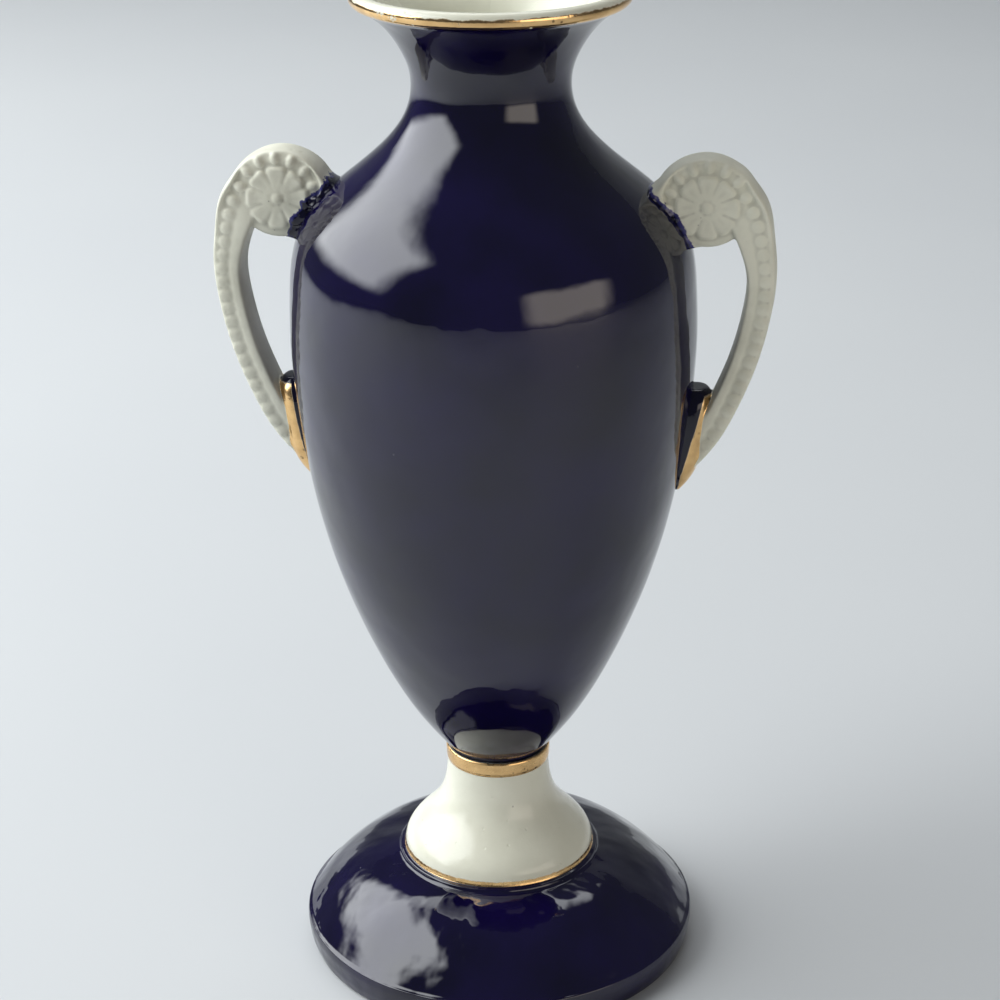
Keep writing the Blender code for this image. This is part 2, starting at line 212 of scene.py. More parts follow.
def body_outline(clearance):
    """The outside from the axis to the lip's underside, moved out by a clearance."""
    side = BASE_RADIUS + clearance
    floor = BASE_HEIGHT - clearance
    base = [
        (0, floor),
        (side - BASE_TAPER, floor),
        (side - BASE_TAPER * 0.38, floor + BASE_DEPTH * 0.42),
        (side, COLLAR_TOP),
    ]
    heights = np.linspace(COLLAR_TOP, LIP_UNDERSIDE[0], OUTLINE_POINTS)
    outside = pushed_out([(body_radius(z), z) for z in heights], -clearance)
    return base[:-1] + [tuple(p) for p in outside]


def body_profile():
    """The whole section of the body: outside, rolled lip, inside and floor."""
    heights = np.linspace(COLLAR_TOP, LIP_UNDERSIDE[0], OUTLINE_POINTS)
    inside = pushed_out([(body_radius(z), z) for z in heights], BODY_WALL)[::-2]
    floor = BASE_HEIGHT + FLOOR_THICKNESS
    wall = [tuple(p) for p in inside if floor + 0.5 < p[1] < LIP_CENTRE[1] - LIP_ROLL * 1.6]
    roll = arc(LIP_CENTRE, LIP_ROLL, ROLL_START, ROLL_END, 22)
    return body_outline(0.0) + roll + wall + [(wall[-1][0] * 0.5, floor + 0.1), (0, floor)]


print("body outline has", len(body_profile()), "points")

# %% [markdown]
# ## The outline of the pedestal
# One hollow casting: a collar that holds the body's base, a stem that opens like a bell, a small
# ledge and a low domed foot, open underneath. Straight runs get softened corners, because glaze
# never leaves a sharp edge.

# %% Pedestal outline
FOOT_RADIUS = 67.5
FOOT_WIDEST_HEIGHT = 8.7
FOOT_UNDERCUT = 1.8
FOOT_RING_WIDTH = 5.0
FOOT_DOME_HEIGHT = 32.5
LEDGE_RADIUS = 34.4
LEDGE_HEIGHT = 1.8
FLARE_RADIUS = 32.6
WAIST_RADIUS = 17.2
COLLAR_BAND = 5.4
PEDESTAL_WALL = 4.5
BELL_SHARES = (
    (0, 0),
    (0.19, 0.04),
    (0.375, 0.14),
    (0.54, 0.34),
    (0.68, 0.61),
    (0.79, 0.83),
    (0.89, 0.96),
    (1, 1),
)
DOME_SHARES = ((0, 0), (0.165, 0.047), (0.375, 0.150), (0.62, 0.385), (0.835, 0.68), (0.965, 0.905))
BAND_BOTTOM = COLLAR_TOP - COLLAR_BAND
FLARE_HEIGHT = FOOT_DOME_HEIGHT + LEDGE_HEIGHT


def bell_side():
    """The stem from under the gold band down to the ledge."""
    keys = share_points((BAND_BOTTOM, WAIST_RADIUS), (FLARE_HEIGHT, FLARE_RADIUS), BELL_SHARES)[::-1]
    radius = spline([z for z, _ in keys], [r for _, r in keys])
    return [(float(radius(z)), z) for z in np.linspace(BAND_BOTTOM, FLARE_HEIGHT, 60)]


def dome_side():
    """The foot from the ledge out to where its rim turns down."""
    span = FOOT_RADIUS - LEDGE_RADIUS
    drop = FOOT_DOME_HEIGHT - FOOT_WIDEST_HEIGHT
    keys = [(LEDGE_RADIUS + span * out, FOOT_DOME_HEIGHT - drop * down) for out, down in DOME_SHARES]
    height = spline([r for r, _ in keys], [z for _, z in keys])
    return [(r, float(height(r))) for r in np.linspace(keys[0][0], keys[-1][0], 60)]


def pedestal_profile():
    """The pedestal's whole section: seat, collar, bell, ledge, foot, foot ring and hollow."""
    side = BASE_RADIUS + FIT_GAP
    seat_floor = BASE_HEIGHT - FIT_GAP
    seat = [
        (0, seat_floor),
        (side - BASE_TAPER, seat_floor),
        (side - BASE_TAPER * 0.38, seat_floor + 1.9),
    ]
    collar = [
        (side, COLLAR_TOP - 0.2),
        (COLLAR_RADIUS - COLLAR_LIP * 0.4, COLLAR_TOP),
        (COLLAR_RADIUS, COLLAR_TOP - COLLAR_LIP * 0.6),
        (COLLAR_RADIUS - 0.1, BAND_BOTTOM + 1.0),
        (WAIST_RADIUS, BAND_BOTTOM),
    ]
    ledge = [
        (FLARE_RADIUS + 0.3, FLARE_HEIGHT - 0.25),
        (LEDGE_RADIUS - 0.3, FLARE_HEIGHT - 0.45),
        (LEDGE_RADIUS, FOOT_DOME_HEIGHT + LEDGE_HEIGHT * 0.3),
    ]
    ring_radius = FOOT_RADIUS - FOOT_UNDERCUT - 0.5
    rim = [
        (FOOT_RADIUS - 0.35, FOOT_WIDEST_HEIGHT + 2.0),
        (FOOT_RADIUS, FOOT_WIDEST_HEIGHT),
        (FOOT_RADIUS - FOOT_UNDERCUT * 0.3, FOOT_WIDEST_HEIGHT * 0.45),
        (FOOT_RADIUS - FOOT_UNDERCUT * 0.8, FOOT_WIDEST_HEIGHT * 0.1),
        (ring_radius, 0),
        (ring_radius - FOOT_RING_WIDTH, 0),
        (ring_radius - FOOT_RING_WIDTH - 1.2, FOOT_WIDEST_HEIGHT * 0.5),
    ]
    under = [tuple(p) for p in pushed_out(dome_side(), -PEDESTAL_WALL)[::-3]]
    under = [p for p in under if LEDGE_RADIUS < p[0] < rim[-1][0] - 1]
    hollow_top = seat_floor - PEDESTAL_WALL
    inside = [tuple(p) for p in pushed_out(bell_side(), -PEDESTAL_WALL)[::-3] if p[1] < hollow_top]
    turn_in = [(FLARE_RADIUS - PEDESTAL_WALL, FOOT_DOME_HEIGHT - PEDESTAL_WALL * 0.6)]
    hollow = under + turn_in + inside + [(0, hollow_top)]
    bell = bell_side()
    return (
        seat
        + softened(collar, 0.5)[:-1]
        + bell[:-1]
        + softened([bell[-2]] + ledge + [dome_side()[1]], 0.5)
        + dome_side()[2:-1]
        + softened([dome_side()[-1]] + rim, 0.9)
        + hollow
    )


print("pedestal outline has", len(pedestal_profile()), "points")

# %% [markdown]
# ## A lathe made of nodes
# Both turned pieces follow one rule: spin an outline about the axis. The Screw modifier could do
# it, but a tree of Geometry Nodes keeps the number of sides as a named input. The helpers open a
# tree, add a node with its sockets filled, do sums, and end the tree by making its copies real and
# giving them their finish.

# %% Node helpers
def new_tree(name, **counts):
    """A geometry tree with these whole numbers and a finish as its inputs, and its input node."""
    tree = bpy.data.node_groups.new(name, "GeometryNodeTree")
    sockets = tree.interface
    sockets.new_socket("Geometry", in_out="INPUT", socket_type="NodeSocketGeometry")
    for label, count in counts.items():
        made = sockets.new_socket(label, in_out="INPUT", socket_type="NodeSocketInt")
        made.default_value = count
    sockets.new_socket("Finish", in_out="INPUT", socket_type="NodeSocketMaterial")
    sockets.new_socket("Geometry", in_out="OUTPUT", socket_type="NodeSocketGeometry")
    return tree, tree.nodes.new("NodeGroupInput")


def node(tree, kind, links=None, **settings):
    """Adds a node, sets it up, and plugs sockets or plain values into its inputs."""
    made = tree.nodes.new(kind)
    for key, value in settings.items():
        setattr(made, key, value)
    for key, value in (links or {}).items():
        socket = made.inputs[key]
        if isinstance(value, bpy.types.NodeSocket):
            tree.links.new(value, socket)
        else:
            socket.default_value = value
    return made


def math_node(tree, operation, first, second=0.0):
    return node(tree, "ShaderNodeMath", {0: first, 1: second}, operation=operation).outputs[0]


def product(tree, first, second):
    return math_node(tree, "MULTIPLY", first, second)


def total(tree, first, second):
    return math_node(tree, "ADD", first, second)


def difference(tree, first, second):
    return math_node(tree, "SUBTRACT", first, second)


def axis_of(tree, vector, axis):
    """One part of a vector: X, Y or Z."""
    return node(tree, "ShaderNodeSeparateXYZ", {0: vector}).outputs[axis]


def close_tree(tree, given, geometry):
    """Makes the copies real, gives them the finish and sends them out."""
    real = node(tree, "GeometryNodeRealizeInstances", {"Geometry": geometry})
    finish = {"Geometry": real.outputs[0], "Material": given.outputs["Finish"]}
    dressed = node(tree, "GeometryNodeSetMaterial", finish)
    out = tree.nodes.new("NodeGroupOutput")
    tree.links.new(dressed.outputs[0], out.inputs[0])
    return tree


def run_tree(name, mesh, tree, values):
    """Runs the tree on a mesh once and keeps the result as a plain mesh object at the origin."""
    source = bpy.data.objects.new(name, mesh)
    bpy.context.scene.collection.objects.link(source)
    modifier = source.modifiers.new(tree.name, "NODES")
    modifier.node_group = tree
    sockets = {s.name: s.identifier for s in tree.interface.items_tree if s.in_out == "INPUT"}
    for label, value in values.items():
        modifier[sockets[label]] = value
    graph = bpy.context.evaluated_depsgraph_get()
    graph.update()
    result = bpy.data.meshes.new_from_object(source.evaluated_get(graph))
    result.name = name
    source.modifiers.clear()
    source.data = result
    return source

print("node helpers ready")

# %% [markdown]
# ### The lathe's tree
# A flat grid has one row for each point of the outline and one column for each side. Every grid
# point looks up the outline's point of its row and is spun about the axis by its place in the row.
# The first and the last column meet there, so they are merged.

# %% Lathe tree
SIDES = 192
SEAM_DISTANCE = 1e-6


def lathe_tree():
    tree, given = new_tree("Lathe", Sides=SIDES)
    line = given.outputs["Geometry"]
    rows = node(tree, "GeometryNodeAttributeDomainSize", {"Geometry": line}).outputs["Point Count"]
    columns = total(tree, given.outputs["Sides"], 1.0)
    sizes = {"Size X": 1.0, "Size Y": 1.0, "Vertices X": columns, "Vertices Y": rows}
    grid = node(tree, "GeometryNodeMeshGrid", sizes).outputs["Mesh"]
    position = tree.nodes.new("GeometryNodeInputPosition").outputs[0]
    around = product(tree, total(tree, axis_of(tree, position, "X"), 0.5), 2 * math.pi)
    share = total(tree, axis_of(tree, position, "Y"), 0.5)
    row = math_node(tree, "ROUND", product(tree, share, difference(tree, rows, 1.0)))
    wanted = {"Geometry": line, "Value": position, "Index": row}
    point = node(tree, "GeometryNodeSampleIndex", wanted, data_type="FLOAT_VECTOR").outputs["Value"]
    swing = {"Vector": point, "Angle": around}
    spun = node(tree, "ShaderNodeVectorRotate", swing, rotation_type="Z_AXIS").outputs[0]
    tube = node(tree, "GeometryNodeSetPosition", {"Geometry": grid, "Position": spun}).outputs[0]
    seam = {"Geometry": tube, "Distance": SEAM_DISTANCE}
    merged = node(tree, "GeometryNodeMergeByDistance", seam).outputs[0]
    return close_tree(tree, given, merged)


def line_mesh(name, points):
    """A line of points (radius, height) in millimetres as a mesh in metres, in the plane Y = 0."""
    mesh = bpy.data.meshes.new(name)
    places = [(r * MM, 0, z * MM) for r, z in points]
    mesh.from_pydata(places, [(i, i + 1) for i in range(len(places) - 1)], [])
    return mesh


def outward(mesh):
    """Turns every face of a closed mesh outwards and shades it smooth."""
    bm = bmesh.new()
    bm.from_mesh(mesh)
    bmesh.ops.remove_doubles(bm, verts=bm.verts[:], dist=1e-7)
    bmesh.ops.recalc_face_normals(bm, faces=bm.faces[:])
    bm.to_mesh(mesh)
    bm.free()
    mesh.shade_smooth()


lathe = lathe_tree()
print("lathe tree has", len(lathe.nodes), "nodes")

# %% [markdown]
# ## Glaze, gold and bisque
# Four finishes cover the vase. The cobalt glaze is nearly black glass with a violet heart, so it is
# a dark base with a very low roughness. The white glaze is the same glass over white clay. The gold
# was burnished by hand, so it has small pits and rubbed places. The handles are bare, matte
# porcelain. A few helpers start a material, make clouds and specks from the place on the object,
# and mix colours by them.

# %% Material helpers
def new_material(name):
    made = bpy.data.materials.new(name)
    made.use_nodes = True
    tree = made.node_tree
    place = tree.nodes.new("ShaderNodeTexCoord").outputs["Object"]
    return made, tree, tree.nodes["Principled BSDF"], place


def noise(tree, place, scale, detail=2.0, rough=0.5):
    """A cloudy pattern whose lumps are about 1 / scale metres across."""
    pattern = {"Vector": place, "Scale": scale, "Detail": detail, "Roughness": rough}
    return node(tree, "ShaderNodeTexNoise", pattern).outputs["Fac"]


def ramp(tree, value, *stops):
    """A colour ramp through stops of (place, colour)."""
    made = node(tree, "ShaderNodeValToRGB", {"Fac": value})
    line = made.color_ramp
    while len(line.elements) > len(stops):
        line.elements.remove(line.elements[-1])
    while len(line.elements) < len(stops):
        line.elements.new(1.0)
    for element, (at, colour) in zip(line.elements, stops):
        element.position = at
        element.color = (*colour, 1.0)
    return made.outputs["Color"]

def step(tree, value, low, high, out_low=0.0, out_high=1.0):
    """A smooth step from out_low to out_high as the value goes from low to high."""
    ends = {"Value": value, "From Min": low, "From Max": high, "To Min": out_low, "To Max": out_high}
    return node(tree, "ShaderNodeMapRange", ends, interpolation_type="SMOOTHSTEP").outputs["Result"]


def between(tree, share, low, high):
    """Goes evenly from low to high as the share goes from 0 to 1."""
    ends = {"Value": share, "To Min": low, "To Max": high}
    return node(tree, "ShaderNodeMapRange", ends).outputs["Result"]


def specks(tree, place, dots, patches):
    """Small dots, as (scale, core, edge), in the patches of a cloud, as (scale, low, high)."""
    scale, core, edge = dots
    cells = node(tree, "ShaderNodeTexVoronoi", {"Vector": place, "Scale": scale}, feature="F1")
    spots = step(tree, cells.outputs["Distance"], edge, core)
    return product(tree, spots, step(tree, noise(tree, place, patches[0]), *patches[1:]))


def mix(tree, factor, first, second):
    made = node(tree, "ShaderNodeMix", data_type="RGBA")
    for socket, value in (("Factor_Float", factor), ("A_Color", first), ("B_Color", second)):
        target = next(s for s in made.inputs if s.identifier == socket)
        if isinstance(value, bpy.types.NodeSocket):
            tree.links.new(value, target)
        else:
            target.default_value = value if socket == "Factor_Float" else (*value, 1.0)
    return next(s for s in made.outputs if s.identifier == "Result_Color")


def bump(tree, shader, height, depth):
    made = node(tree, "ShaderNodeBump", {"Height": height, "Distance": depth, "Strength": 1.0})
    tree.links.new(made.outputs[0], shader.inputs["Normal"])


def combined(tree, *parts):
    """Adds up (pattern, weight) pairs."""
    added = None
    for value, weight in parts:
        part = product(tree, value, weight)
        added = part if added is None else total(tree, added, part)
    return added


print("material helpers ready")

# %% [markdown]
# ### Cobalt glaze
# The colour is not flat: where the glaze ran thick it is blacker, and where it thinned it shows
# violet. Long ripples bend the reflections, as on any hand-dipped glaze. They are three clouds of
# different sizes added up, stronger on the foot than on the body. A few specks of kiln dust stand
# in the glaze.

# %% Cobalt glaze
COBALT_DEEP = (0.0022, 0.0014, 0.0150)
COBALT_THIN = (0.0062, 0.0032, 0.0400)
GLAZE_IOR = 1.62
GLAZE_ROUGHNESS = (0.030, 0.060)
DUST_COLOUR = (0.25, 0.25, 0.30)
DUST_DOTS, DUST_PATCHES = (260.0, 0.03, 0.07), (95.0, 0.62, 0.70)
RIPPLES = ((40.0, 1.0), (95.0, 0.22), (210.0, 0.05))
RIPPLE_DEPTH = 0.0016
FOOT_RIPPLES, BODY_RIPPLES = 1.5, 0.38
RIPPLE_CHANGE_HEIGHTS = (0.030, 0.060)

cobalt, tree, shader, place = new_material("cobalt_glaze")
colour = ramp(tree, noise(tree, place, 28.0, 3.0), (0.35, COBALT_DEEP), (0.70, COBALT_THIN))
dust = specks(tree, place, DUST_DOTS, DUST_PATCHES)
colour = mix(tree, product(tree, dust, 0.5), colour, DUST_COLOUR)
gloss = step(tree, noise(tree, place, 60.0, 4.0), 0.3, 0.8, *GLAZE_ROUGHNESS)
tree.links.new(colour, shader.inputs["Base Color"])
tree.links.new(gloss, shader.inputs["Roughness"])
shader.inputs["IOR"].default_value = GLAZE_IOR
height = axis_of(tree, place, "Z")
calm = step(tree, height, *RIPPLE_CHANGE_HEIGHTS, FOOT_RIPPLES, BODY_RIPPLES)
ripples = combined(tree, *((noise(tree, place, scale, 1.0), weight) for scale, weight in RIPPLES))
swell = product(tree, ripples, calm)
bump(tree, shader, combined(tree, (swell, 1.0), (dust, 0.05)), RIPPLE_DEPTH)
print("cobalt glaze done")

# %% [markdown]
# ### White glaze
# Milk white with a trace of green where it is thick. Tiny dark specks of iron show through, and
# dust has settled as a faint grey cloud.

# %% White glaze
WHITE_CLEAN = (0.87, 0.86, 0.72)
WHITE_SHADE = (0.79, 0.78, 0.64)
IRON_COLOUR = (0.16, 0.12, 0.08)
IRON_DOTS, IRON_PATCHES = (210.0, 0.04, 0.10), (60.0, 0.57, 0.66)
WHITE_ROUGHNESS = (0.22, 0.34)
CLAY_IOR = 1.5


def white_glaze_colour(tree, place):
    clouds = ramp(tree, noise(tree, place, 55.0, 4.0), (0.30, WHITE_SHADE), (0.65, WHITE_CLEAN))
    iron = specks(tree, place, IRON_DOTS, IRON_PATCHES)
    return mix(tree, product(tree, iron, 0.55), clouds, IRON_COLOUR)


white, tree, shader, place = new_material("white_glaze")
gloss = step(tree, noise(tree, place, 80.0, 3.0), 0.3, 0.8, *WHITE_ROUGHNESS)
tree.links.new(white_glaze_colour(tree, place), shader.inputs["Base Color"])
tree.links.new(gloss, shader.inputs["Roughness"])
shader.inputs["IOR"].default_value = CLAY_IOR
bump(tree, shader, noise(tree, place, 70.0, 2.0), 0.00015)
print("white glaze done")

# %% [markdown]
# ### Gold
# Gilding is a thin film, so it is metal where it holds and glaze where it has worn through. One
# factor decides between the two, and colour, roughness and metal all follow it. Each gilded place
# has its own factor: the lip is gilded on the outer half of its roll and rubbed in places, the
# collar is nearly whole, and the line at the foot of the bell has a ragged upper edge.

# %% Gold
GOLD_BRIGHT = (0.88, 0.58, 0.27)
GOLD_DEEP = (0.68, 0.43, 0.19)
PIT_COLOUR = (0.05, 0.03, 0.02)
PIT_DOTS, PIT_PATCHES = (420.0, 0.10, 0.26), (240.0, 0.52, 0.62)
LIP_ROUGHNESS, COLLAR_ROUGHNESS, BELL_LINE_ROUGHNESS = 0.13, 0.26, 0.24
UNDER_ROUGHNESS = 0.16


def gild(tree, shader, place, film, rough):
    """Lays gold on white glaze where the film is 1, with dark pits and brushed clouds."""
    gold = ramp(tree, noise(tree, place, 130.0, 5.0, 0.6), (0.30, GOLD_DEEP), (0.62, GOLD_BRIGHT))
    pits = specks(tree, place, PIT_DOTS, PIT_PATCHES)
    gold = mix(tree, product(tree, pits, 0.75), gold, PIT_COLOUR)
    skin = mix(tree, film, white_glaze_colour(tree, place), gold)
    tree.links.new(skin, shader.inputs["Base Color"])
    tree.links.new(film, shader.inputs["Metallic"])
    worn = step(tree, noise(tree, place, 300.0, 3.0), 0.35, 0.75, rough * 0.7, rough * 1.7)
    tree.links.new(between(tree, film, UNDER_ROUGHNESS, worn), shader.inputs["Roughness"])
    brushed = noise(tree, place, 260.0, 3.0)
    bump(tree, shader, combined(tree, (brushed, 1.0), (pits, -0.8)), 0.00012)


def wobbly_height(tree, place, scale, reach):
    """The height with a cloudy error of about reach, so that an edge set by it looks painted."""
    wobble = difference(tree, noise(tree, place, scale, 4.0, 0.65), 0.5)
    return total(tree, axis_of(tree, place, "Z"), product(tree, wobble, 2 * reach))


lip_gold, tree, shader, place = new_material("lip_gilding")
edge = wobbly_height(tree, place, 230.0, 0.9 * MM)
film = step(tree, edge, (OVERALL_HEIGHT - 1.45) * MM, (OVERALL_HEIGHT - 1.85) * MM)
flat = node(tree, "ShaderNodeVectorMath", {0: place, 1: (1.0, 1.0, 0.0)}, operation="MULTIPLY")
length = node(tree, "ShaderNodeVectorMath", {0: flat.outputs["Vector"]}, operation="LENGTH")
middle = LIP_CENTRE[0]
outer_half = step(tree, length.outputs["Value"], (middle - 0.3) * MM, (middle + 0.5) * MM)
film = product(tree, film, outer_half)
rubbed = step(tree, noise(tree, place, 160.0, 5.0, 0.7), 0.66, 0.60)
gild(tree, shader, place, product(tree, film, rubbed), LIP_ROUGHNESS)

collar_gold, tree, shader, place = new_material("collar_gilding")
edge = wobbly_height(tree, place, 320.0, 0.25 * MM)
film = step(tree, edge, (BAND_BOTTOM - 0.1) * MM, (BAND_BOTTOM + 0.1) * MM)
gild(tree, shader, place, film, COLLAR_ROUGHNESS)

bell_finish, tree, shader, place = new_material("bell_glaze")
edge = wobbly_height(tree, place, 420.0, 0.55 * MM)
film = step(tree, edge, (FLARE_HEIGHT + 1.75) * MM, (FLARE_HEIGHT + 1.45) * MM)
gild(tree, shader, place, film, BELL_LINE_ROUGHNESS)
print("gold done")

# %% [markdown]
# ## Turning the body and the pedestal
# The lathe makes one closed shell for each. Afterwards each face gets the finish of its region,
# found from where the face lies: the lip, the inside, the collar, the bell.

# %% Turn the body and the pedestal
def region_finish(piece, finishes, choose):
    """Gives every face the finish that choose(radius, height, outward) names, all in millimetres."""
    mesh = piece.data
    names = list(finishes)
    mesh.materials.clear()
    for name in names:
        mesh.materials.append(finishes[name])
    centres = np.empty(len(mesh.polygons) * 3)
    normals = np.empty(len(mesh.polygons) * 3)
    mesh.polygons.foreach_get("center", centres)
    mesh.polygons.foreach_get("normal", normals)
    centres = centres.reshape(-1, 3) / MM
    normals = normals.reshape(-1, 3)
    radius = np.hypot(centres[:, 0], centres[:, 1])
    outwards = (centres[:, :2] * normals[:, :2]).sum(1)
    picks = [names.index(choose(r, z, o)) for r, z, o in zip(radius, centres[:, 2], outwards)]
    mesh.polygons.foreach_set("material_index", picks)
    mesh.update()
    return {name: picks.count(i) for i, name in enumerate(names)}


def body_region(radius, height, outwards):
    if math.dist((radius, height), LIP_CENTRE) < LIP_ROLL + 0.2:
        return "gold"
    return "white" if outwards < 0 and height > BASE_HEIGHT + FLOOR_THICKNESS - 1 else "cobalt"


def pedestal_region(radius, height, outwards):
    if outwards > 0 and height > BAND_BOTTOM:
        return "collar"
    if outwards > 0 and height > FLARE_HEIGHT - 0.1:
        return "bell"
    if outwards <= 0 and (height < BAND_BOTTOM or radius < WAIST_RADIUS):
        return "white"
    return "cobalt"


turned = {"Sides": SIDES, "Finish": cobalt}
turned_body = run_tree("porcelain_body", line_mesh("body_line", body_profile()), lathe, turned)
turned_foot = run_tree("porcelain_foot", line_mesh("foot_line", pedestal_profile()), lathe, turned)
outward(turned_body.data)
outward(turned_foot.data)
body_finishes = {"cobalt": cobalt, "white": white, "gold": lip_gold}
foot_finishes = {"cobalt": cobalt, "white": white, "collar": collar_gold, "bell": bell_finish}
print("body", region_finish(turned_body, body_finishes, body_region))
print("foot", region_finish(turned_foot, foot_finishes, pedestal_region))

# %% [markdown]
# ## The handle's line
# A handle is a flat strap that curls round a rosette, with a row of beads along its outer side.
# Everything on it follows one line, the line of the beads: round the head, then down the shaft to
# the tongue.

# %% Bead line
HALF_THICKNESS = 7.0
HANDLE_REACH = 21.8
HEAD_CENTRE = np.array([BELLY_RADIUS + 2.3, BELLY_HEIGHT + 43.6])
HEAD_RADIUS = 13.8
BEAD_RING_RADIUS = 12.4
RING_START = 225
RING_END = 20
RIM_WIDTH = 2.5
SHAFT_WIDTH = 9.6
TONGUE_TOP = BELLY_HEIGHT - 17.5
TONGUE_LENGTH = 36.0
TONGUE_TIP = TONGUE_TOP - TONGUE_LENGTH
TONGUE_WIDTH = 17.0
TONGUE_THICKNESS = 6.2
SHAFT_SHARES = (
    (0.808, 0.027),
    (0.930, 0.130),
    (1.000, 0.233),
    (0.949, 0.377),
    (0.762, 0.547),
    (0.500, 0.696),
    (0.196, 0.825),
    (-0.051, 0.900),
    (-0.304, 0.968),
)
STRAP_SHARES = np.array(
    (
        (0.00, 2.60, 0.27),
        (0.09, 1.80, 0.27),
        (0.14, 1.12, 0.27),
        (0.19, 0.93, 0.27),
        (0.25, 0.90, 0.27),
        (0.29, 1.45, 0.42),
        (0.335, 1.80, 0.95),
        (0.365, 1.60, 1.02),
        (0.40, 1.40, 0.88),
        (0.45, 1.22, 0.76),
        (0.50, 1.02, 0.73),
        (0.56, 0.96, 0.73),
        (0.85, 0.95, 0.73),
        (0.93, 0.75, 0.60),
        (1.00, 0.35, 0.50),
    )
)


def bead_line():
    """The line of the beads as a function from millimetres along it to (x, z), and its length."""
    ring = arc(HEAD_CENTRE, BEAD_RING_RADIUS, RING_START, RING_END, 15)
    drop = HEAD_CENTRE[1] - TONGUE_TIP
    shaft = [
        (BELLY_RADIUS + HANDLE_REACH * out, HEAD_CENTRE[1] - drop * down)
        for out, down in SHAFT_SHARES
    ]
    keys = np.array(ring + shaft)
    gaps = np.linalg.norm(np.diff(keys, axis=0), axis=1)
    chords = np.concatenate([[0], np.cumsum(gaps)])
    along_x = spline(chords, keys[:, 0])
    along_z = spline(chords, keys[:, 1])

    def place(s):
        return np.array([float(along_x(s)), float(along_z(s))])

    return place, chords[-1]


on_line, LINE_LENGTH = bead_line()


def direction(s):
    """The unit direction of the line at s, and the unit normal that points away from the rosette."""
    ahead = on_line(min(s + 0.2, LINE_LENGTH)) - on_line(max(s - 0.2, 0))
    ahead /= np.linalg.norm(ahead)
    return ahead, np.array([-ahead[1], ahead[0]])


print("bead line is", round(LINE_LENGTH, 1), "mm long")

# %% [markdown]
# ## The strap
# The strap is swept along the bead line. Its section has a soft outer rim, a shallow channel for
# the beads and, on the shaft, a smooth rib on the inner side. The section changes with the distance
# along the line, so it is worked out at each station instead of being one fixed outline.

# %% Strap
SECTION_POINTS = 56
STATION_STEP = 0.6
SWEEP_GROWTH = -0.14
CHANNEL_HALF_WIDTH = (2.3, 2.9)
CHANNEL_DEPTH = (1.7, 0.65)
RIB_VALLEY = 0.40
RIB_PLACE = 0.62
DISC_SINK = 1.35
OUTER_EDGE = (1.1, 1.0)
INNER_EDGE = (1.0, 0.9)
THIN_FROM = 0.82
END_THICKNESS = 0.7


def soft_edge(distance, radius):
    """How high a rounded edge stands, from 0 at the edge to 1 at the radius and beyond."""
    t = np.clip(distance / radius, 0, 1)
    return np.sqrt(1 - (1 - t) ** 2)


def blend(pair, on_shaft):
    """From a pair (on the head, on the shaft) to the value in between."""
    return pair[0] + (pair[1] - pair[0]) * on_shaft


def face_at(share):
    """Half the handle's thickness at a share of its length: it thins towards its lower end."""
    return HALF_THICKNESS * float(np.interp(share, (THIN_FROM, 1), (1, END_THICKNESS)))


def column_at(table, share, column):
    """Reads a column of a table whose first column is the share of the length."""
    return np.interp(share, table[:, 0], table[:, column])


def strap_height(n, outer, inner, on_shaft, face):
    """The strap's half thickness, n millimetres outside the bead line."""
    outer_round = soft_edge(outer - n, blend(OUTER_EDGE, on_shaft))
    inner_round = soft_edge(inner + n, blend(INNER_EDGE, on_shaft))
    half = blend(CHANNEL_HALF_WIDTH, on_shaft)
    channel = blend(CHANNEL_DEPTH, on_shaft) * np.clip(1 - (n / half) ** 4, 0, 1)
    up_rib = np.clip((-n - half) / max(inner * RIB_PLACE - half, 0.5), 0, 1)
    valley = RIB_VALLEY * on_shaft * (1 - up_rib) ** 2 + DISC_SINK * (1 - on_shaft)
    sunk = np.where(n < 0, np.maximum(channel, valley * (n < -half * 0.8)), channel)
    return (face - sunk) * np.minimum(outer_round, inner_round)


def evened(values, reach=4, rounds=3):
    """A row of values with its corners rounded off by a moving mean."""
    window = np.ones(2 * reach + 1) / (2 * reach + 1)
    for _ in range(rounds):
        values = np.convolve(np.pad(values, reach, mode="edge"), window, mode="valid")
    return values


def lofted(rings):
    """A closed bmesh through rings of points, in metres, with equally many points each."""
    bm = bmesh.new()
    rings = [[bm.verts.new(point) for point in ring] for ring in rings]
    for first, second in zip(rings, rings[1:]):
        for i in range(len(first)):
            j = (i + 1) % len(first)
            bm.faces.new((first[i], first[j], second[j], second[i]))
    bm.faces.new(rings[0])
    bm.faces.new(rings[-1][::-1])
    bmesh.ops.recalc_face_normals(bm, faces=bm.faces[:])
    return bm


def strap_mesh():
    """The swept strap as a closed bmesh, in metres."""
    stations = np.linspace(0, LINE_LENGTH, int(LINE_LENGTH / STATION_STEP))
    shares = stations / LINE_LENGTH
    outers = evened(RIM_WIDTH * column_at(STRAP_SHARES, shares, 1)) + SWEEP_GROWTH
    inners = evened(SHAFT_WIDTH * column_at(STRAP_SHARES, shares, 2)) + SWEEP_GROWTH
    turn = np.linspace(0, math.pi, SECTION_POINTS // 2)
    rings = []
    for s, share, outer, inner in zip(stations, shares, outers, inners):
        on_shaft = float(np.interp(share, (0.30, 0.38), (0, 1)))
        middle = on_line(s)
        _, out = direction(s)
        n = (outer - inner) / 2 + (outer + inner) / 2 * np.cos(turn)
        y = strap_height(n, outer, inner, on_shaft, face_at(share))
        y[0] = y[-1] = 0.0
        front = [(middle + out * a, -b) for a, b in zip(n, y)]
        back = [(middle + out * a, b) for a, b in zip(n[-2:0:-1], y[-2:0:-1])]
        rings.append([(p[0] * MM, b * MM, p[1] * MM) for p, b in front + back])
    return lofted(rings)


strap = strap_mesh()
print("the strap has", len(strap.verts), "points")

